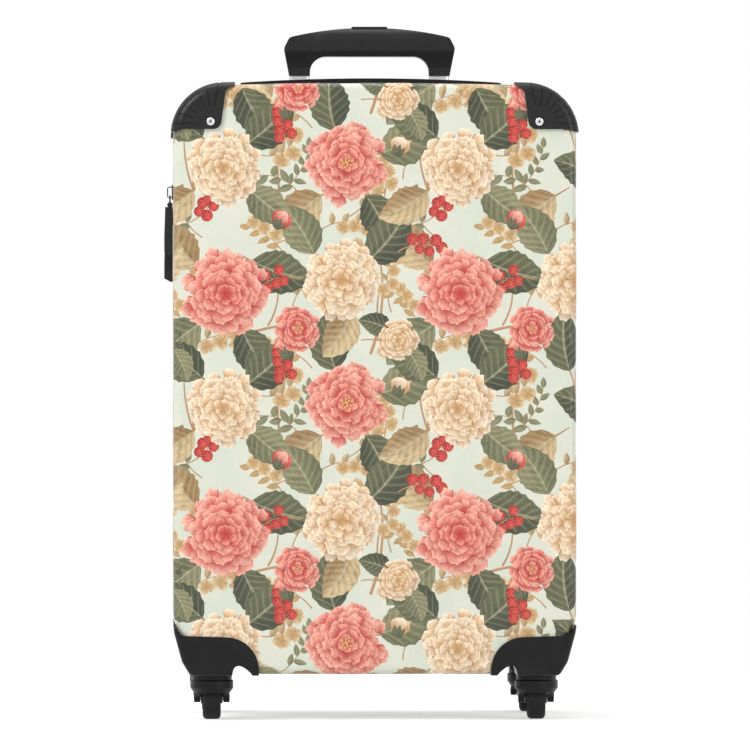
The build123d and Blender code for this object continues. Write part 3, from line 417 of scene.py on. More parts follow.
def bloom(x, y, radius, inks, seed, rings, most, heart, height):
    """Many-petalled flower: rings of ruffled petals laid from the outside in, lit from the upper left."""
    deep, middle, pale = (np.array(INKS[ink]) for ink in inks)
    chance = np.random.default_rng(seed)
    made = [stroke(BERRY, x, y, 0, radius * 0.72, 0, (deep * 0.8, deep * 0.8), height - 0.012)]
    for ring in range(rings):
        part = ring / (rings - 1)
        count = 3 * max(2, round(most * (1 - 0.72 * part) / 3))
        foot, length = radius * (0.62 * (1 - part) ** 0.9 + 0.02), radius * (0.36 - 0.12 * part)
        for k in range(count):
            angle = 2 * pi * (k + 0.5 * (ring % 2)) / count + chance.normal(0, 0.07)
            out = foot * (1 + chance.normal(0, 0.07))
            light = 1.0 + 0.10 * cos(angle - 2.3) * (1 - part) + chance.normal(0, 0.045)
            blend = min(1.0, 0.62 + 0.3 * (1 - part) + chance.normal(0, 0.14))
            tip = middle * (1 - blend) + pale * blend
            made.append(stroke(
                PETAL, x + out * cos(angle), y + out * sin(angle), angle + chance.normal(0, 0.16),
                length * (1 + chance.normal(0, 0.1)), 2 * pi * (foot + 0.6 * length) / count * 0.6,
                (deep, tip), height + 0.0013 * len(made),
                bend=chance.normal(0, 0.22), ruffle=0.07, mark=chance.random(), light=light))
    for k in range(14 if heart else 0):
        angle, out = 2.4 * k, radius * 0.045 * k**0.5
        made.append(stroke(BERRY, x + out * cos(angle), y + out * sin(angle), 0, radius * 0.035, 0,
                           (heart, "tan_pale"), height + 0.0013 * len(made)))
    return made


def bud(x, y, turn, size, inks, height, seed):
    """A closed flower on its sepals."""
    chance = np.random.default_rng(seed)
    made = []
    for k, lean in enumerate((-0.5, 0.5, -0.22, 0.22, 0.0)):
        made.append(stroke(PETAL, x, y, turn + lean, size, size * 0.3, (inks[0], inks[2 if k > 2 else 1]),
                           height + 0.012 * k, bend=-lean * 1.1, ruffle=0.05, mark=chance.random()))
    for k, lean in enumerate((-0.75, 0.75, 0.0)):
        made.append(stroke(LEAF, x, y, turn + lean, size * 0.62, size * 0.13, ("olive_deep", "olive"),
                           height + 0.07 + 0.006 * k, bend=-lean * 0.8, mark=0.3))
    return made


CORAL, CREAM = ("coral_deep", "coral", "coral_pale"), ("cream_deep", "cream", "cream_pale")
OLIVE, OLIVE_LIGHT, TAN = ("olive_deep", "olive"), ("olive", "olive_pale"), ("tan_deep", "tan_pale")


def sprig(x, y, turn, length, bend, seed, height, count, size, inks=("tan_deep", "tan"), berries=False):
    """A thin curved stem with small leaves or berries at its sides."""
    chance = np.random.default_rng(seed)
    made = [stroke(STEM, x, y, turn, length, 0.55, ("branch", "tan"), height, bend=bend)]
    for k in range(1, count + 1):
        s = 0.2 + 0.8 * k / count
        here = turn + bend * s
        px = x + length / bend * (sin(here) - sin(turn))
        py = y + length / bend * (cos(turn) - cos(here))
        lean = (0.85 if k % 2 else -0.85) + chance.normal(0, 0.15)
        if k == count:
            lean = 0.1
        if berries:
            reach = size * (0.55 + 0.35 * chance.random())
            made.append(stroke(STEM, px, py, here + lean, reach, 0.38, ("branch", "branch"), height + 0.004))
            bx, by = px + reach * cos(here + lean), py + reach * sin(here + lean)
            round_size = 4.3 + 1.2 * chance.random()
            made.append(stroke(BERRY, bx, by, 0, round_size, 0, ("berry", "berry_pale"),
                               height + 0.02 + 0.004 * (k % 3)))
            for dot in range(9):
                angle, out = 2.4 * dot + k, 0.26 * round_size * (dot + 0.4) ** 0.5
                made.append(stroke(BERRY, bx + out * cos(angle), by + out * sin(angle), 0,
                                   0.27, 0, ("coral_pale", "coral_pale"), height + 0.045))
        elif k % 2 == 0 and inks != OLIVE_LIGHT:
            reach = size * 0.55
            made.append(stroke(STEM, px, py, here + lean, reach, 0.32, ("branch", "tan"), height + 0.003))
            fx, fy, round_size = px + reach * cos(here + lean), py + reach * sin(here + lean), size * 0.58
            for petal in range(5):
                angle = 2 * pi * petal / 5 + chance.normal(0, 0.15) + k
                made.append(stroke(
                    PETAL, fx, fy, angle, round_size, round_size * 0.42, ("tan", "tan_pale"),
                    height + 0.02 + 0.003 * petal + 0.016 * (k // 2 % 3), ruffle=0.12, mark=chance.random()))
        else:
            made.append(stroke(
                LEAF, px, py, here + lean, size * (0.75 + 0.4 * chance.random()), size * 0.24, inks,
                height + 0.008 + 0.004 * (k % 3), bend=chance.normal(0, 0.4), mark=chance.random()))
    return made


# One repeat of the print, in millimetres. Each motif has the point that it stands on, then its turn.
TILE = np.array([201.0, 206.0])
BRANCHES = (
    (12, 8, 1.35, 118, 0.5), (96, 4, 1.9, 96, -0.7), (168, 96, 1.2, 92, 0.6), (60, 112, 0.4, 88, -0.8))
SPRIGS = (
    (86, 26, 0.5, 52, 0.9), (4, 92, 0.9, 50, -0.9), (118, 84, 2.2, 46, 1.1), (186, 132, 1.9, 56, -0.8),
    (84, 190, 0.2, 48, 1.2), (24, 196, 2.6, 44, -1.1), (150, 8, 0.5, 46, 1.0), (100, 132, 1.4, 46, -1.0),
    (176, 16, 1.0, 40, 1.2), (72, 92, 2.9, 44, -1.3), (110, 22, 2.0, 44, 1.2), (182, 188, 3.0, 46, 1.1),
    (6, 116, 1.5, 44, 1.3), (160, 108, 0.2, 42, -1.2), (96, 176, 1.9, 44, 1.0), (196, 40, 1.6, 40, -1.4),
    (30, 102, 0.1, 40, 1.5), (122, 200, 0.7, 46, -1.1), (2, 172, 0.2, 34, -1.3), (70, 62, -0.4, 36, 1.4))
LEAVES = (
    (66, 176, -0.5, 56, OLIVE), (20, 172, 2.5, 52, TAN), (22, 122, 3.7, 54, OLIVE_LIGHT),
    (58, 118, -1.2, 50, OLIVE), (138, 82, 1.9, 52, OLIVE), (176, 62, 0.3, 56, OLIVE_LIGHT),
    (126, 26, -2.6, 52, TAN), (164, 26, -0.9, 48, OLIVE), (120, 182, 2.0, 50, OLIVE_LIGHT),
    (166, 176, 0.7, 56, OLIVE), (152, 132, -1.9, 46, TAN), (62, 70, 0.6, 54, OLIVE),
    (24, 76, 2.4, 50, OLIVE), (16, 30, -2.4, 48, TAN), (64, 32, -0.8, 46, OLIVE_LIGHT),
    (186, 116, 2.6, 30, OLIVE), (200, 100, -0.9, 30, OLIVE_LIGHT))
BERRY_SPRIGS = ((92, 60, 1.2, 0.8), (192, 184, 0.6, -0.9), (108, 160, 2.8, 0.9), (10, 2, 0.3, 0.9))
BUDS = ((98, 92, 1.9, 19, CORAL), (190, 60, 1.2, 17, CREAM), (86, 204, 0.9, 17, CORAL))
BLOOMS = (
    (192, 108, 18, CREAM, 5, 15, None), (106, 118, 20, CORAL, 5, 15, "gold"),
    (42, 50, 32, CREAM, 8, 18, None), (143, 160, 34, CREAM, 8, 21, None),
    (44, 148, 37, CORAL, 8, 21, None), (148, 54, 35, CORAL, 8, 18, "gold"))


def repeat_pattern():
    """One repeat of the print, from the back forwards: each motif's place and its strokes."""
    motifs = []
    for x, y, turn, length, bend in BRANCHES:
        twig_x, twig_y = x + 22 * cos(turn), y + 22 * sin(turn)
        inks = "branch", "tan"
        motifs.append((x, y, [
            stroke(STEM, x, y, turn, length, 1.25, inks, 0.0, bend=bend),
            stroke(STEM, twig_x, twig_y, turn + 0.6, length * 0.5, 0.9, inks, 0.004, bend=-bend)]))
    for k, (x, y, turn, length, bend) in enumerate(SPRIGS):
        inks = OLIVE_LIGHT if k % 5 == 0 else TAN if k % 2 else ("tan", "cream_deep")
        motifs.append((x, y, sprig(x, y, turn, length, bend, 40 + k, 0.03 + 0.002 * k,
                                   (8, 6, 7)[k % 3], (10.5, 13.0, 11.5)[k % 3], inks)))
    for k, (x, y, turn, length, inks) in enumerate(LEAVES):
        blade = stroke(LEAF, x, y, turn, length, length * 0.33, inks, 0.12 + 0.006 * k,
                       bend=(0.45, -0.5, 0.3)[k % 3], mark=k / 17)
        stalk = stroke(STEM, x, y, turn + pi, 14, 0.8, ("branch", "branch"), 0.075)
        motifs.append((x, y, [blade, stalk]))
    for k, (x, y, turn, bend) in enumerate(BERRY_SPRIGS):
        motifs.append((x, y, sprig(x, y, turn, 32, bend, 70 + k, 0.23 + 0.007 * k, 6, 9.0, berries=True)))
    for k, (x, y, turn, size, inks) in enumerate(BUDS):
        motifs.append((x, y, bud(x, y, turn, size, inks, 0.2 + 0.01 * k, 5 + k)))
    for k, (x, y, radius, inks, rings, most, heart) in enumerate(BLOOMS):
        motifs.append((x, y, bloom(x, y, radius, inks, 21 + k, rings, most, heart, 0.30 + 0.001 * k)))
    return motifs


class Half:
    """The outside of one half shell, and the ways a flat sheet lies on it."""

    def __init__(self, shell, side):
        self.side = side
        mesh = shell.data
        points = np.empty(len(mesh.vertices) * 3)
        mesh.vertices.foreach_get("co", points)
        points = points.reshape(-1, 3)
        middle = np.array([0, side * FACE_Y / 2, MIDDLE_Z])
        outside = []
        for polygon in mesh.polygons:
            normal, centre = np.array(polygon.normal), np.array(polygon.center)
            at_rim = abs(normal[1]) > 0.9 and abs(centre[1]) < 0.02
            if normal @ (centre - middle) > 0 and not at_rim:
                outside.append(tuple(polygon.vertices))
        self.tree = BVHTree.FromPolygons([Vector(p) for p in points], outside)
        corner = []
        for k in range(1800):
            way = Vector((sin(2 * pi * k / 1800), 0, -cos(2 * pi * k / 1800)))
            hit = self.tree.ray_cast(Vector((0, side * FACE_Y * 0.55, MIDDLE_Z)), way)[0]
            if hit:
                corner.append((hit.x * 1000, hit.z * 1000))
        corner = np.array(corner)
        step = np.linalg.norm(np.roll(corner, -1, 0) - corner, axis=1)
        run = np.concatenate([[0], np.cumsum(step)])
        self.round = run[-1]
        even = np.linspace(0, self.round, 1641)[:-1]
        closed = np.append(corner, corner[:1], 0)
        self.line = np.stack([np.interp(even, run, closed[:, k]) for k in range(2)], 1)
        ahead = np.roll(self.line, -3, 0) - np.roll(self.line, 3, 0)
        ahead /= np.linalg.norm(ahead, axis=1)[:, None]
        self.ahead, self.out = ahead, np.stack([ahead[:, 1], -ahead[:, 0]], 1)
        if (self.out * (self.line - [0, MIDDLE_Z * 1000])).sum() < 0:
            self.out = -self.out
        self.step = self.round / len(self.line)

    def lay(self, along, beyond):
        """Points in space for a length round the outline and a length beyond the flat face."""
        place = (along / self.step) % len(self.line)
        low = place.astype(int) % len(self.line)
        part = (place - np.floor(place))[:, None]
        high = (low + 1) % len(self.line)
        line = self.line[low] * (1 - part) + self.line[high] * part
        out = self.out[low] * (1 - part) + self.out[high] * part
        edge, face = EDGE * 1000, FACE_Y * 1000
        turn = np.clip(beyond / edge, 0, pi / 2)
        flat = line + out * (np.where(beyond < 0, beyond, edge * np.sin(turn)) - edge)[:, None]
        back = face - edge * (1 - np.cos(turn)) - np.clip(beyond - edge * pi / 2, 0, None)
        return np.stack([flat[:, 0], self.side * np.maximum(back, RIM_Y * 1000), flat[:, 1]], 1)

    def wrap(self, sheet):
        """Points in space for a sheet that lies on the flat face, and how far each is beyond that face."""
        beyond = np.full(len(sheet), -50.0)
        along = np.zeros(len(sheet))
        near = (np.abs(sheet[:, 0]) > 118) | (sheet[:, 1] > 490) | (sheet[:, 1] < 112)
        ids = np.nonzero(near)[0]
        for block in np.array_split(ids, max(1, len(ids) // 4000)):
            if len(block):
                gap = sheet[block][:, None] - self.line[None]
                nearest = (gap**2).sum(2).argmin(1)
                gap = sheet[block] - self.line[nearest]
                beyond[block] = (gap * self.out[nearest]).sum(1) + EDGE * 1000
                along[block] = (nearest * self.step + (gap * self.ahead[nearest]).sum(1))
        points = self.lay(along, beyond)
        flat = beyond <= 0
        points[flat, 0], points[flat, 2] = sheet[flat, 0], sheet[flat, 1]
        points[flat, 1] = self.side * FACE_Y * 1000
        return points, beyond

    def press(self, points):
        """Moves points of the rounded edge and the band onto the shell, and gives each point's normal."""
        normals = np.zeros_like(points)
        normals[:, 1] = self.side
        flat = np.abs(np.abs(points[:, 1]) - FACE_Y * 1000) < 1e-6
        for k in np.nonzero(~flat)[0]:
            spot, normal = self.tree.find_nearest(Vector(points[k] / 1000), 0.03)[:2]
            if spot:
                points[k], normals[k] = np.array(spot) * 1000, normal
        return points, normals

    def hidden(self, points):
        """Where the corner caps and wheel guards lie over the print."""
        x, y, z = np.abs(points[:, 0]), np.abs(points[:, 1]), points[:, 2]
        wide, high, low = HALF_WIDE * 1000, SHELL_HIGH * 1000, SHELL_LOW * 1000
        cap = (x > wide - 36) & (z > high - 36) & (y > 86)
        cap |= (x > wide - 46) & (z > high - 6) & (y > 86)
        guard = (x > wide - 60) & (z < low + 22) & (y > 64)
        return cap | guard


# Lengths beyond the flat face, in millimetres, and heights over the shell.
PRINT_END, BAND_START, BAND_END, EDGE_ZONE = 120.6, -14, 122, (-2, 12)
PRINT_HEIGHT, FACE_HEIGHT = 0.08, 0.0331


def laid_strokes(half, zone, shift, flip):
    """The strokes that show on a half's face, or on the band round it, each laid in space."""
    around = round(half.round / TILE[0])
    if zone == "face":
        columns, rows, start, scale = range(-2, 3), range(-1, 4), shift, 1.0
        reach, low, high = HALF_WIDE * 1000 + 2, 36, 550
    else:
        columns, rows, start = range(around), range(-1, 2), (0, shift[1] * 0.4)
        scale = half.round / around / TILE[0]
        reach, low, high = np.inf, 8, BAND_END

    def laid(one, move, fine):
        sheet, faces, ink, place = draw(one, fine)
        sheet = (sheet + move) * (scale, 1.0)
        if zone == "face":
            sheet[:, 0] *= flip
            space, beyond = half.wrap(sheet)
        else:
            space, beyond = half.lay(sheet[:, 0], sheet[:, 1]), sheet[:, 1]
        return space, beyond, faces, ink, place

    for column, row in ((c, r) for c in columns for r in rows):
        move = np.array([column, row]) * TILE + start
        for x, y, strokes in repeat:
            if abs(x + move[0]) >= reach or not low < y + move[1] < high:
                continue
            for one in strokes:
                space, beyond, faces, ink, place = laid(one, move, False)
                if beyond.min() > BAND_END or (zone == "band" and beyond.max() < BAND_START):
                    continue
                if beyond.max() > EDGE_ZONE[0] and beyond.min() < EDGE_ZONE[1] and one["kind"] != BERRY:
                    space, beyond, faces, ink, place = laid(one, move, True)
                away = (beyond > PRINT_END) | half.hidden(space)
                faces = faces[~away[faces].all(1)]
                if len(faces):
                    yield one, space, faces, ink, place


def print_on(half, name, body, shift, flip):
    """Lays the print's repeat over one half: on its face, then on the band round it."""
    for zone in ("face", "band"):
        points, quads, inks, spread, flowers, own = [], [], [], [], [], []
        start = 0
        for one, space, faces, ink, place in laid_strokes(half, zone, shift, flip):
            points.append(space)
            quads.append(faces + start)
            inks.append(ink)
            spread.append(place)
            flowers.append(np.full(len(faces), one["kind"] == PETAL))
            lift = PRINT_HEIGHT + one["height"] + (FACE_HEIGHT if zone == "face" else 0.0)
            own.append(np.tile([float(one["kind"] == LEAF), one["mark"], lift], (len(space), 1)))
            start += len(space)
        points, quads, inks, spread, flowers = map(np.concatenate, (points, quads, inks, spread, flowers))
        leafy, mark, lift = np.concatenate(own).T
        points, normals = half.press(points)
        points = (points + normals * lift[:, None]) / 1000
        cross = np.cross(points[quads[:, 2]] - points[quads[:, 0]], points[quads[:, 3]] - points[quads[:, 1]])
        turned = (cross * normals[quads[:, 0]]).sum(1) < 0
        quads[turned] = quads[turned][:, ::-1]
        whole = np.linalg.norm(cross, axis=1) > 2e-9
        for group, chosen in (("petals", flowers), ("leaves", ~flowers)):
            used, again = np.unique(quads[chosen & whole], return_inverse=True)
            piece = new_piece(f"{name}_{zone}_{group}", points[used], again.reshape(-1, 4),
                              finish["print_ink"], body)
            piece.visible_shadow = piece.visible_diffuse = piece.visible_glossy = False
            mesh = piece.data
            colours = np.concatenate([np.clip(inks[used], 0, 1), np.ones((len(used), 1))], 1)
            mesh.attributes.new("ink", "FLOAT_COLOR", "POINT").data.foreach_set("color", colours.ravel())
            mesh.attributes.new("leafy", "FLOAT", "POINT").data.foreach_set("value", leafy[used])
            mesh.attributes.new("mark", "FLOAT", "POINT").data.foreach_set("value", mark[used])
            corners = np.empty(len(mesh.loops), int)
            mesh.loops.foreach_get("vertex_index", corners)
            mesh.uv_layers.new(name="along").data.foreach_set("uv", spread[used][corners].ravel())


repeat = repeat_pattern()
finish["print_ink"] = print_finish()
front_half, rear_half = Half(node["front_shell"], -1), Half(node["rear_shell"], 1)
print_on(front_half, "print_front", "front_case", (-172.0, 12.0), 1.0)
print_on(rear_half, "print_rear", "rear_case", (-120.0, -70.0), -1.0)


# Zip, hinge cloth, linings, pocket and packing straps.
def settle(piece):
    """Turns a piece's live modifiers into plain mesh."""
    bpy.context.view_layer.update()
    seen = piece.evaluated_get(bpy.context.evaluated_depsgraph_get())
    mesh = bpy.data.meshes.new_from_object(seen)
    piece.modifiers.clear()
    piece.data = mesh
    return piece


def thicken(piece, thickness):
    wall = piece.modifiers.new("wall", "SOLIDIFY")
    wall.thickness, wall.offset = thickness / 1000, 0.0
    return settle(piece)


def metres(rows):
    """All the points of rows in millimetres, in metres."""
    return [p / 1000 for row in rows for p in row]


def woven(rows):
    """Quads between rows of points that have equal counts."""
    wide = len(rows[0])
    return [(a * wide + b, (a + 1) * wide + b, (a + 1) * wide + b + 1, a * wide + b + 1)
            for a in range(len(rows) - 1) for b in range(wide - 1)]


def bead_rows(name, runs, pitch, size, material, body):
    """Small rounded blocks at an even pitch along lines, in millimetres: zip teeth or stitches."""
    mesh = bpy.data.meshes.new(name)
    points, edges = [], []
    for run in runs:
        edges += [(len(points) + k, len(points) + k + 1) for k in range(len(run) - 1)]
        points += [tuple(np.array(p) / 1000) for p in run]
    mesh.from_pydata(points, edges, [])
    piece = put_in_scene(name, mesh)
    tree = bpy.data.node_groups.new(f"{name}_rows", "GeometryNodeTree")
    face = tree.interface
    face.new_socket("Lines", in_out="INPUT", socket_type="NodeSocketGeometry")
    inputs = {label: face.new_socket(label, in_out="INPUT", socket_type=kind) for label, kind in (
        ("Pitch", "NodeSocketFloat"), ("Half sizes", "NodeSocketVector"), ("Finish", "NodeSocketMaterial"))}
    face.new_socket("Blocks", in_out="OUTPUT", socket_type="NodeSocketGeometry")

    def add(kind, settings=(), **links):
        made = tree.nodes.new(kind)
        for key, value in dict(settings).items():
            setattr(made, key, value)
        for key, value in links.items():
            socket = made.inputs[key.replace("_", " ")]
            if isinstance(value, bpy.types.NodeSocket):
                tree.links.new(value, socket)
            else:
                socket.default_value = value
        return made

    start = add("NodeGroupInput")
    line = add("GeometryNodeMeshToCurve", Mesh=start.outputs["Lines"])
    even = add("GeometryNodeResampleCurve", {"mode": "LENGTH"}, Curve=line.outputs[0],
               Length=start.outputs["Pitch"])
    ahead = add("GeometryNodeInputTangent")
    along = add("FunctionNodeAlignRotationToVector", {"axis": "X"}, Vector=ahead.outputs[0])
    level = add("FunctionNodeAlignRotationToVector", {"axis": "Y", "pivot_axis": "X"},
                Rotation=along.outputs[0], Vector=(0, 1, 0))
    block = add("GeometryNodeMeshUVSphere", Segments=6, Rings=4, Radius=1.0)
    placed = add("GeometryNodeInstanceOnPoints", Points=even.outputs[0], Instance=block.outputs[0],
                 Rotation=level.outputs[0], Scale=start.outputs["Half sizes"])
    real = add("GeometryNodeRealizeInstances", Geometry=placed.outputs[0])
    done = add("GeometryNodeSetMaterial", Geometry=real.outputs[0], Material=start.outputs["Finish"])
    end = add("NodeGroupOutput")
    tree.links.new(done.outputs[0], end.inputs[0])
    rows = piece.modifiers.new("rows", "NODES")
    rows.node_group = tree
    rows[inputs["Pitch"].identifier] = pitch / 1000
    rows[inputs["Half sizes"].identifier] = [v / 1000 for v in size]
    rows[inputs["Finish"].identifier] = material
    settle(piece)
    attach(piece, body)
    return piece


HINGE_SIDE = 165


def outline_run(half, every, gap):
    """Places round the outline; with gap, the run that leaves the hinge side free."""
    ids = np.arange(0, len(half.line), every)
    if gap:
        x, z = half.line[ids].T
        at_hinge = (x > HINGE_SIDE) & (z > HINGE_LOW * 1000 - 2) & (z < HINGE_HIGH * 1000 + 2)
        last = np.nonzero(at_hinge & ~np.roll(at_hinge, -1))[0][0]
        ids = np.roll(ids, -(last + 1))
        ids = ids[: len(ids) - at_hinge.sum()]
    return ids


def at_line(half, ids, across, inset):
    """Points inset from the outline, at a distance across from the seam, in millimetres."""
    spot = half.line[ids] - half.out[ids] * (np.asarray(inset)[:, None] if np.ndim(inset) else inset)
    return np.stack([spot[:, 0], np.full(len(ids), half.side * across), spot[:, 1]], 1)


# Across from the seam and inset from the outline, in millimetres: from the sewn edge to the teeth.
ZIP_PROFILE = ((14.5, 2.45), (9.5, 2.42), (5.6, 2.3), (3.6, 1.9), (2.2, 1.55), (0.4, 1.5))


def zip_half(half, end, body):
    """One half of the zip: its cloth, its teeth and the stitches that hold it."""
    ids = outline_run(half, 2, True)
    rows = list(zip(*(at_line(half, ids, across, inset) for across, inset in ZIP_PROFILE)))
    long = np.linalg.norm(np.diff(half.line[ids], axis=0), axis=1).sum() / 1000
    cloth = new_piece(f"zip_cloth_{end}", metres(rows), woven(rows), finish["zip_tape"])
    thicken(cloth, 0.5)
    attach(cloth, body)
    teeth = bead_rows(f"zip_teeth_{end}", [at_line(half, ids if end == "front" else ids[1:-1], 0.95, 1.0)],
                      1.7, (0.6, 0.95, 0.5), finish["zip_teeth"], body)
    stitches = bead_rows(f"zip_stitches_{end}", [at_line(half, ids, 3.0, 1.55)], 3.2, (1.05, 0.22, 0.22),
                         finish["thread"], body)
    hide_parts(f"zip_tape_{end}")


finish["zip_teeth"] = plastic_finish("zip_nylon", (0.02, 0.019, 0.021), 0.3, 1500, 0.1)
finish["thread"] = ribbed_finish("sewing_thread", (0.05, 0.05, 0.052), 9000, 0.3)
zip_half(front_half, "front", "front_case")
zip_half(rear_half, "rear", "rear_case")

def cloth_hinge():
    """Cloth over the seam on the side that the zip leaves free, with a raised cord along its middle."""
    rows = []
    for z in np.linspace(HINGE_LOW, HINGE_HIGH, 66):
        across = np.linspace(-14.5, 14.5, 25)
        rise = 0.8 * np.maximum(0.0, np.cos(pi * across / 9.5)) * (np.abs(across) < 4.75)
        rows.append(np.stack([170.1 + rise, across, np.full(25, z * 1000)], 1))
    hinge = new_piece("hinge_cloth", metres(rows), woven(rows), finish["zip_tape"])
    thicken(hinge, 0.6)
    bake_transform(hinge)
    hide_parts("hinge_tape")


cloth_hinge()


def lining(half, end, body, floor_at):
    """One sheet of cloth inside a half: gathered a little at its sewn rim, flat on the floor."""
    ids = outline_run(half, 3, False)
    run = ids * half.step
    rows = []
    for across in np.concatenate([np.linspace(14.8, 40, 7), np.linspace(52, floor_at - 9, 5)]):
        loose = np.exp(-(across - 14.8) / 26) - np.exp(-(across - 14.8) / 5)
        gather = 0.9 * loose * (1 + np.sin(run * 2 * pi / 17 + 0.7 * np.sin(run / 31)))
        rows.append(at_line(half, ids, across, 2.45 + gather))
    for turn in np.radians([15, 35, 60, 90]):
        rows.append(at_line(half, ids, floor_at - 9 + 9 * sin(turn), 2.45 + 9 * (1 - cos(turn))))
    rim = rows[-1]
    middle = np.array([0, half.side * floor_at, MIDDLE_Z * 1000])
    for part in (0.93, 0.84, 0.74, 0.62, 0.48, 0.34, 0.2, 0.08):
        rows.append(middle + (rim - middle) * part)
    closed = [list(r) + [r[0]] for r in rows]
    points, faces = metres(closed) + [middle / 1000], woven(closed)
    wide = len(closed[0])
    first = (len(rows) - 1) * wide
    faces += [(first + b, len(points) - 1, first + b + 1) for b in range(wide - 1)]
    cloth = new_piece(f"lining_{end}", points, faces, finish["lining_cloth"])
    merged = bmesh.new()
    merged.from_mesh(cloth.data)
    bmesh.ops.remove_doubles(merged, verts=merged.verts, dist=1e-6)
    area = sum(f.calc_area() for f in merged.faces)
    merged.to_mesh(cloth.data)
    merged.free()
    thicken(cloth, 0.6)
    for polygon in cloth.data.polygons:
        polygon.use_smooth = True
    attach(cloth, body)
    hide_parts(f"{end}_lining")
    sewn = at_line(half, np.append(ids, ids[0]), 17.5, 3.3)
    seam = bead_rows(f"lining_seam_{end}", [sewn], 3.6, (1.2, 0.25, 0.25), finish["thread"], body)
    wide, tall = 2 * HALF_WIDE + 2 * floor_at / 1000, SHELL_HIGH - SHELL_LOW + 2 * floor_at / 1000


lining(front_half, "front", "front_case", 118.6)
lining(rear_half, "rear", "rear_case", 96.35)


def rounded_ring(wide, tall, radius, middle_z, count):
    """Even points round a rectangle with round corners, closed."""
    ring = []
    for k in range(4):
        cx, cz = (wide / 2 - radius) * (1, -1, -1, 1)[k], (tall / 2 - radius) * (1, 1, -1, -1)[k]
        for turn in np.linspace(k * pi / 2, (k + 1) * pi / 2, 9):
            ring.append((cx + radius * cos(turn), middle_z + cz + radius * sin(turn)))
    ring = np.array(ring + [ring[0]])
    run = np.concatenate([[0], np.cumsum(np.linalg.norm(np.diff(ring, axis=0), axis=1))])
    even = np.linspace(0, run[-1], count)
    return np.stack([np.interp(even, run, ring[:, k]) for k in range(2)], 1)


def net_pocket():
    """Net pocket inside the front half: the sagging net, its bound edge and two lines of stitches."""
    low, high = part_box("lid_pocket")
    middle_z, wide, tall = (low[2] + high[2]) * 500, (high[0] - low[0]) * 1000, (high[2] - low[2]) * 1000
    count = 201
    ring = rounded_ring(wide - 1, tall - 1, 17.5, middle_z, count)
    inner = rounded_ring(wide - 21, tall - 21, 11, middle_z, count)
    rows = []
    for part in (1.0, 0.97, 0.9, 0.8, 0.66, 0.5, 0.34, 0.18, 0.05):
        spot = np.array([0, middle_z]) + (ring - [0, middle_z]) * part
        sag = 2.4 * (1 - part**4) * (1 - 0.35 * (spot[:, 1] - middle_z) / tall * 2)
        rows.append(np.stack([spot[:, 0], -117.6 + np.clip(sag, 0, 3.4), spot[:, 1]], 1))
    lid = tuple((len(rows) - 1) * count + b for b in range(count - 1, -1, -1))
    net = new_piece("pocket_net", metres(rows), woven(rows) + [lid], finish["mesh_cloth"])
    thicken(net, 0.25)

    def edge_line(part, y):
        spot = ring * (1 - part) + inner * part
        return np.stack([spot[:, 0], np.full(count, y), spot[:, 1]], 1)

    edge = [edge_line(part, y) for part, y in (
        (0.0, -117.9), (0.06, -117.15), (0.5, -117.0), (0.94, -117.1), (1.0, -117.6))]
    binding = new_piece("pocket_binding", metres(edge), woven(edge), finish["webbing"])
    thicken(binding, 0.4)
    stitches = bead_rows("pocket_stitches", [edge_line(part, -116.8) for part in (0.22, 0.78)], 3.4,
                         (1.15, 0.2, 0.22), finish["thread"], "front_case")
    for piece, slot in ((net, "mesh_cloth"), (binding, "webbing")):
        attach(piece, "front_case")
    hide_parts("lid_pocket")


net_pocket()


def strap_rise(x, z):
    """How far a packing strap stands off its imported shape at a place, in millimetres."""
    reach = min(1.0, max(0.0, (abs(x) - 24) / 122))
    return 1.1 * sin(pi * reach) * (1 + 0.3 * sin(z * 0.06))


def packing_strap(end):
    """Webbing of one side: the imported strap's own outline, eased off the lining and sewn along its edges."""
    source = node[f"pack_strap_{end}"]
    shape = bmesh.new()
    shape.from_mesh(source.data)
    bmesh.ops.remove_doubles(shape, verts=shape.verts, dist=1e-6)
    for x in np.arange(30, 148, 6):
        side = -x if end == "left" else x
        everything = shape.verts[:] + shape.edges[:] + shape.faces[:]
        bmesh.ops.bisect_plane(shape, geom=everything, plane_co=(side / 1000, 0, 0), plane_no=(1, 0, 0))
    area = sum(f.calc_area() for f in shape.faces if f.normal.y < -0.9)
    for point in shape.verts:
        point.co.y -= strap_rise(point.co.x * 1000, point.co.z * 1000) / 1000
    mesh = bpy.data.meshes.new(f"strap_{end}")
    shape.to_mesh(mesh)
    shape.free()
    mesh.materials.clear()
    mesh.materials.append(finish["webbing"])
    strap = put_in_scene(f"strap_{end}", mesh)
    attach(strap, "rear_case")
    low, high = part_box(f"pack_strap_{end}")
    way = -1 if end == "left" else 1
    runs = []
    for end_z in (130.0, 450.0):
        foot, head = np.array([way * 140.0, end_z]), np.array([way * 36.0, (low[2] + high[2]) * 500])
        ahead = (head - foot) / np.linalg.norm(head - foot)
        aside = np.array([-ahead[1], ahead[0]])
        for off in (-9.5, 9.5):
            line = [foot + aside * off + ahead * t for t in np.linspace(4, 150, 30)]
            runs.append([(x, low[1] * 1000 - strap_rise(x, z) - 0.1, z) for x, z in line])
    sewn = bead_rows(f"strap_stitches_{end}", runs, 3.2, (1.1, 0.25, 0.25), finish["thread"], "rear_case")
    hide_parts(f"pack_strap_{end}")
    area / 0.025


packing_strap("left")
packing_strap("right")


BAR_HALF_LONG, BAR_HALF_WIDE = 0.00135, 0.00033


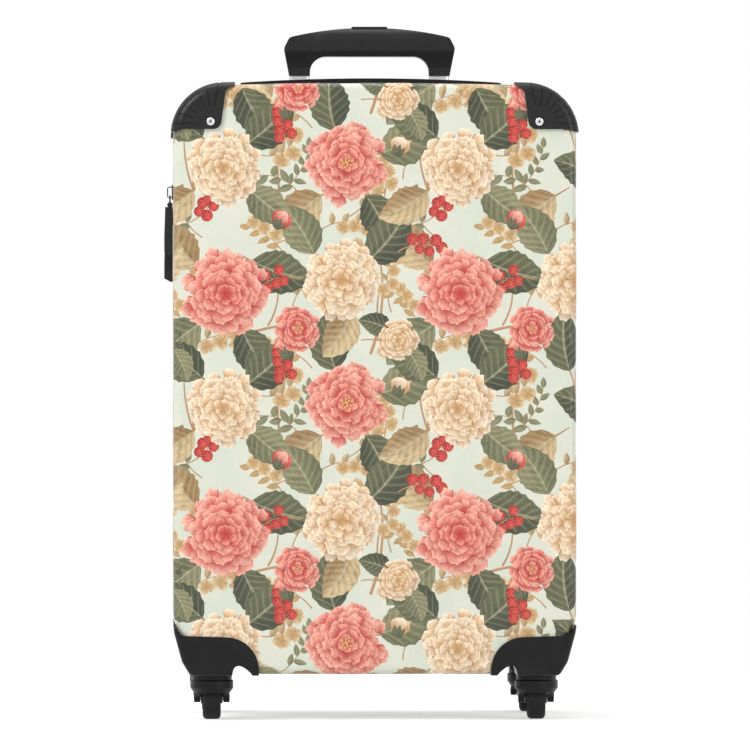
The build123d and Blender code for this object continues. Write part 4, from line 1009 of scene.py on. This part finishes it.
def painted_cross_shade(end, body):
    """Painted shade for the cross recess of each screw head: two dark bars just on the head."""
    heads = bmesh.new()
    heads.from_mesh(node[f"screws_{end}"].data)
    bmesh.ops.remove_doubles(heads, verts=heads.verts, dist=1e-6)
    points, faces, left = [], [], set(heads.faces)
    while left:
        near, screw = [left.pop()], []
        while near:
            face = near.pop()
            screw.append(face)
            for edge in face.edges:
                for other in edge.link_faces:
                    if other in left:
                        left.remove(other)
                        near.append(other)
        sums = {}
        for face in screw:
            key = tuple(round(v, 1) for v in face.normal)
            sums[key] = sums.get(key, 0.0) + face.calc_area()
        middle = sum((f.calc_center_median() * f.calc_area() for f in screw), Vector())
        middle /= sum(f.calc_area() for f in screw)
        from_case = middle - Vector((0, 0, MIDDLE_Z))
        widest = sorted(sums, key=sums.get)[-3:]
        out = max((Vector(key).normalized() for key in widest), key=from_case.dot)
        top = max(v.co.dot(out) for f in screw for v in f.verts)
        middle = middle + out * (top - middle.dot(out))
        aside = out.orthogonal().normalized()
        aside.rotate(Quaternion(out, 0.5))
        for k, way in enumerate((aside, out.cross(aside))):
            across, lift = out.cross(way) * BAR_HALF_WIDE, out * (0.00003 + 0.00002 * k)
            start = len(points)
            points += [middle + lift + way * BAR_HALF_LONG * a + across * b
                       for a, b in ((-1, -1), (1, -1), (1, 1), (-1, 1))]
            faces.append((start, start + 1, start + 2, start + 3))
    heads.free()
    return new_piece(f"painted_cross_shade_{end}", points, faces, finish["recess_painted_shade"], body)


# Dark bars on each screw head, painted as the shade inside its cross recess.
finish["recess_painted_shade"] = metal_finish("recess_painted_shade", (0.03, 0.03, 0.031), 0.6, (500, 500, 500), 0.1)
painted_cross_shade("front", "front_case")
painted_cross_shade("rear", "rear_case")


# Floor, background, light and camera.
def floor_finish():
    """White studio floor: its own white near the case, to take the shadow, and plain white further off."""
    paint = Paint("studio_floor", (0.86, 0.86, 0.865), 0.7, Specular_IOR_Level=0.2)
    x, y, z = paint.axes()
    far = (x * x + y * y).ease(0.5, 2.2)
    rays = paint.node("ShaderNodeLightPath", {}, {}).outputs
    seen = Tone(paint, rays["Is Camera Ray"])
    for ray in ("Is Glossy Ray", "Is Transmission Ray"):
        seen = seen.work("MAXIMUM", seen, rays[ray])
    white = paint.node("ShaderNodeEmission", {}, {"Color": (1, 1, 1, 1), "Strength": 1.0}).outputs[0]
    lift = paint.node("ShaderNodeEmission", {}, {"Color": (1, 1, 1, 1), "Strength": 0.42}).outputs[0]
    both = paint.node("ShaderNodeAddShader", {}, {0: paint.shader.outputs[0], 1: lift}).outputs[0]
    near = paint.node("ShaderNodeMixShader", {}, {0: seen, 1: paint.shader.outputs[0], 2: both}).outputs[0]
    mixed = paint.node("ShaderNodeMixShader", {}, {0: far * seen, 1: near, 2: white}).outputs[0]
    for made in paint.tree.nodes:
        if made.type == "OUTPUT_MATERIAL":
            paint.tree.links.new(mixed, made.inputs["Surface"])
    return paint.material


FLOOR_REACH = 30
new_piece("floor", [(x * FLOOR_REACH, y * FLOOR_REACH, 0) for x, y in (
    (-1, -1), (1, -1), (1, 1), (-1, 1))], [(0, 1, 2, 3)], floor_finish())

# Soft light from all round, dimmer from in front of the case; plain white where the camera sees it.
world = bpy.data.worlds.new("studio")
bpy.context.scene.world = world
world.use_nodes = True
tree = world.node_tree
tree.nodes.clear()
plain, bright = (tree.nodes.new("ShaderNodeBackground") for _ in range(2))
plain.inputs["Color"].default_value = 1.0, 0.99, 0.975, 1
bright.inputs["Color"].default_value = 1, 1, 1, 1
path, choose, out = (tree.nodes.new(kind) for kind in ("ShaderNodeLightPath", "ShaderNodeMixShader",
                                                       "ShaderNodeOutputWorld"))
way, parts, dim = (tree.nodes.new(kind) for kind in ("ShaderNodeTexCoord", "ShaderNodeSeparateXYZ",
                                                     "ShaderNodeMapRange"))
dim.interpolation_type = "SMOOTHSTEP"
for key, value in (("From Min", -1.0), ("From Max", -0.1), ("To Min", 0.2), ("To Max", 0.7)):
    dim.inputs[key].default_value = value
tree.links.new(way.outputs["Generated"], parts.inputs[0])
tree.links.new(parts.outputs[1], dim.inputs[0])
tree.links.new(dim.outputs[0], plain.inputs["Strength"])
seen = path.outputs["Is Camera Ray"]
for ray in ("Is Glossy Ray", "Is Transmission Ray"):
    either = tree.nodes.new("ShaderNodeMath")
    either.operation = "MAXIMUM"
    tree.links.new(seen, either.inputs[0])
    tree.links.new(path.outputs[ray], either.inputs[1])
    seen = either.outputs[0]
tree.links.new(seen, choose.inputs[0])
tree.links.new(plain.outputs[0], choose.inputs[1])
tree.links.new(bright.outputs[0], choose.inputs[2])
tree.links.new(choose.outputs[0], out.inputs["Surface"])


AIM = Vector((0, 0, 0.3))


def soft_light(name, place, size, watts):
    """A rectangular lamp that faces the middle of the case."""
    lamp = bpy.data.lights.new(name, "AREA")
    lamp.shape, lamp.size, lamp.size_y, lamp.energy = "RECTANGLE", size[0], size[1], watts
    holder = put_in_scene(name, lamp)
    holder.location = place
    holder.rotation_euler = (AIM - Vector(place)).to_track_quat("-Z", "Y").to_euler()


soft_light("key_light", (-2.2, -2.4, 2.6), (1.4, 1.8), 74)
soft_light("fill_light", (2.4, -2.6, 1.2), (1.2, 2.0), 28)
soft_light("top_light", (-0.3, 0.2, 2.8), (1.6, 1.6), 20)

# The camera stands far off, a little to the left, level with the middle of the picture.
FAR_OFF, LEVEL, TO_THE_LEFT = 7.88, 0.2962, radians(1.3)
lens = bpy.data.cameras.new("camera")
lens.sensor_width, lens.lens, lens.clip_end = 36.0, 441.35, 100.0
camera = put_in_scene("camera", lens)
camera.location = (-FAR_OFF * sin(TO_THE_LEFT), -FACE_Y - FAR_OFF * cos(TO_THE_LEFT), LEVEL)
camera.rotation_euler = (radians(90), 0, -TO_THE_LEFT)
bpy.context.scene.camera = camera
bpy.context.scene.view_settings.view_transform = "Standard"
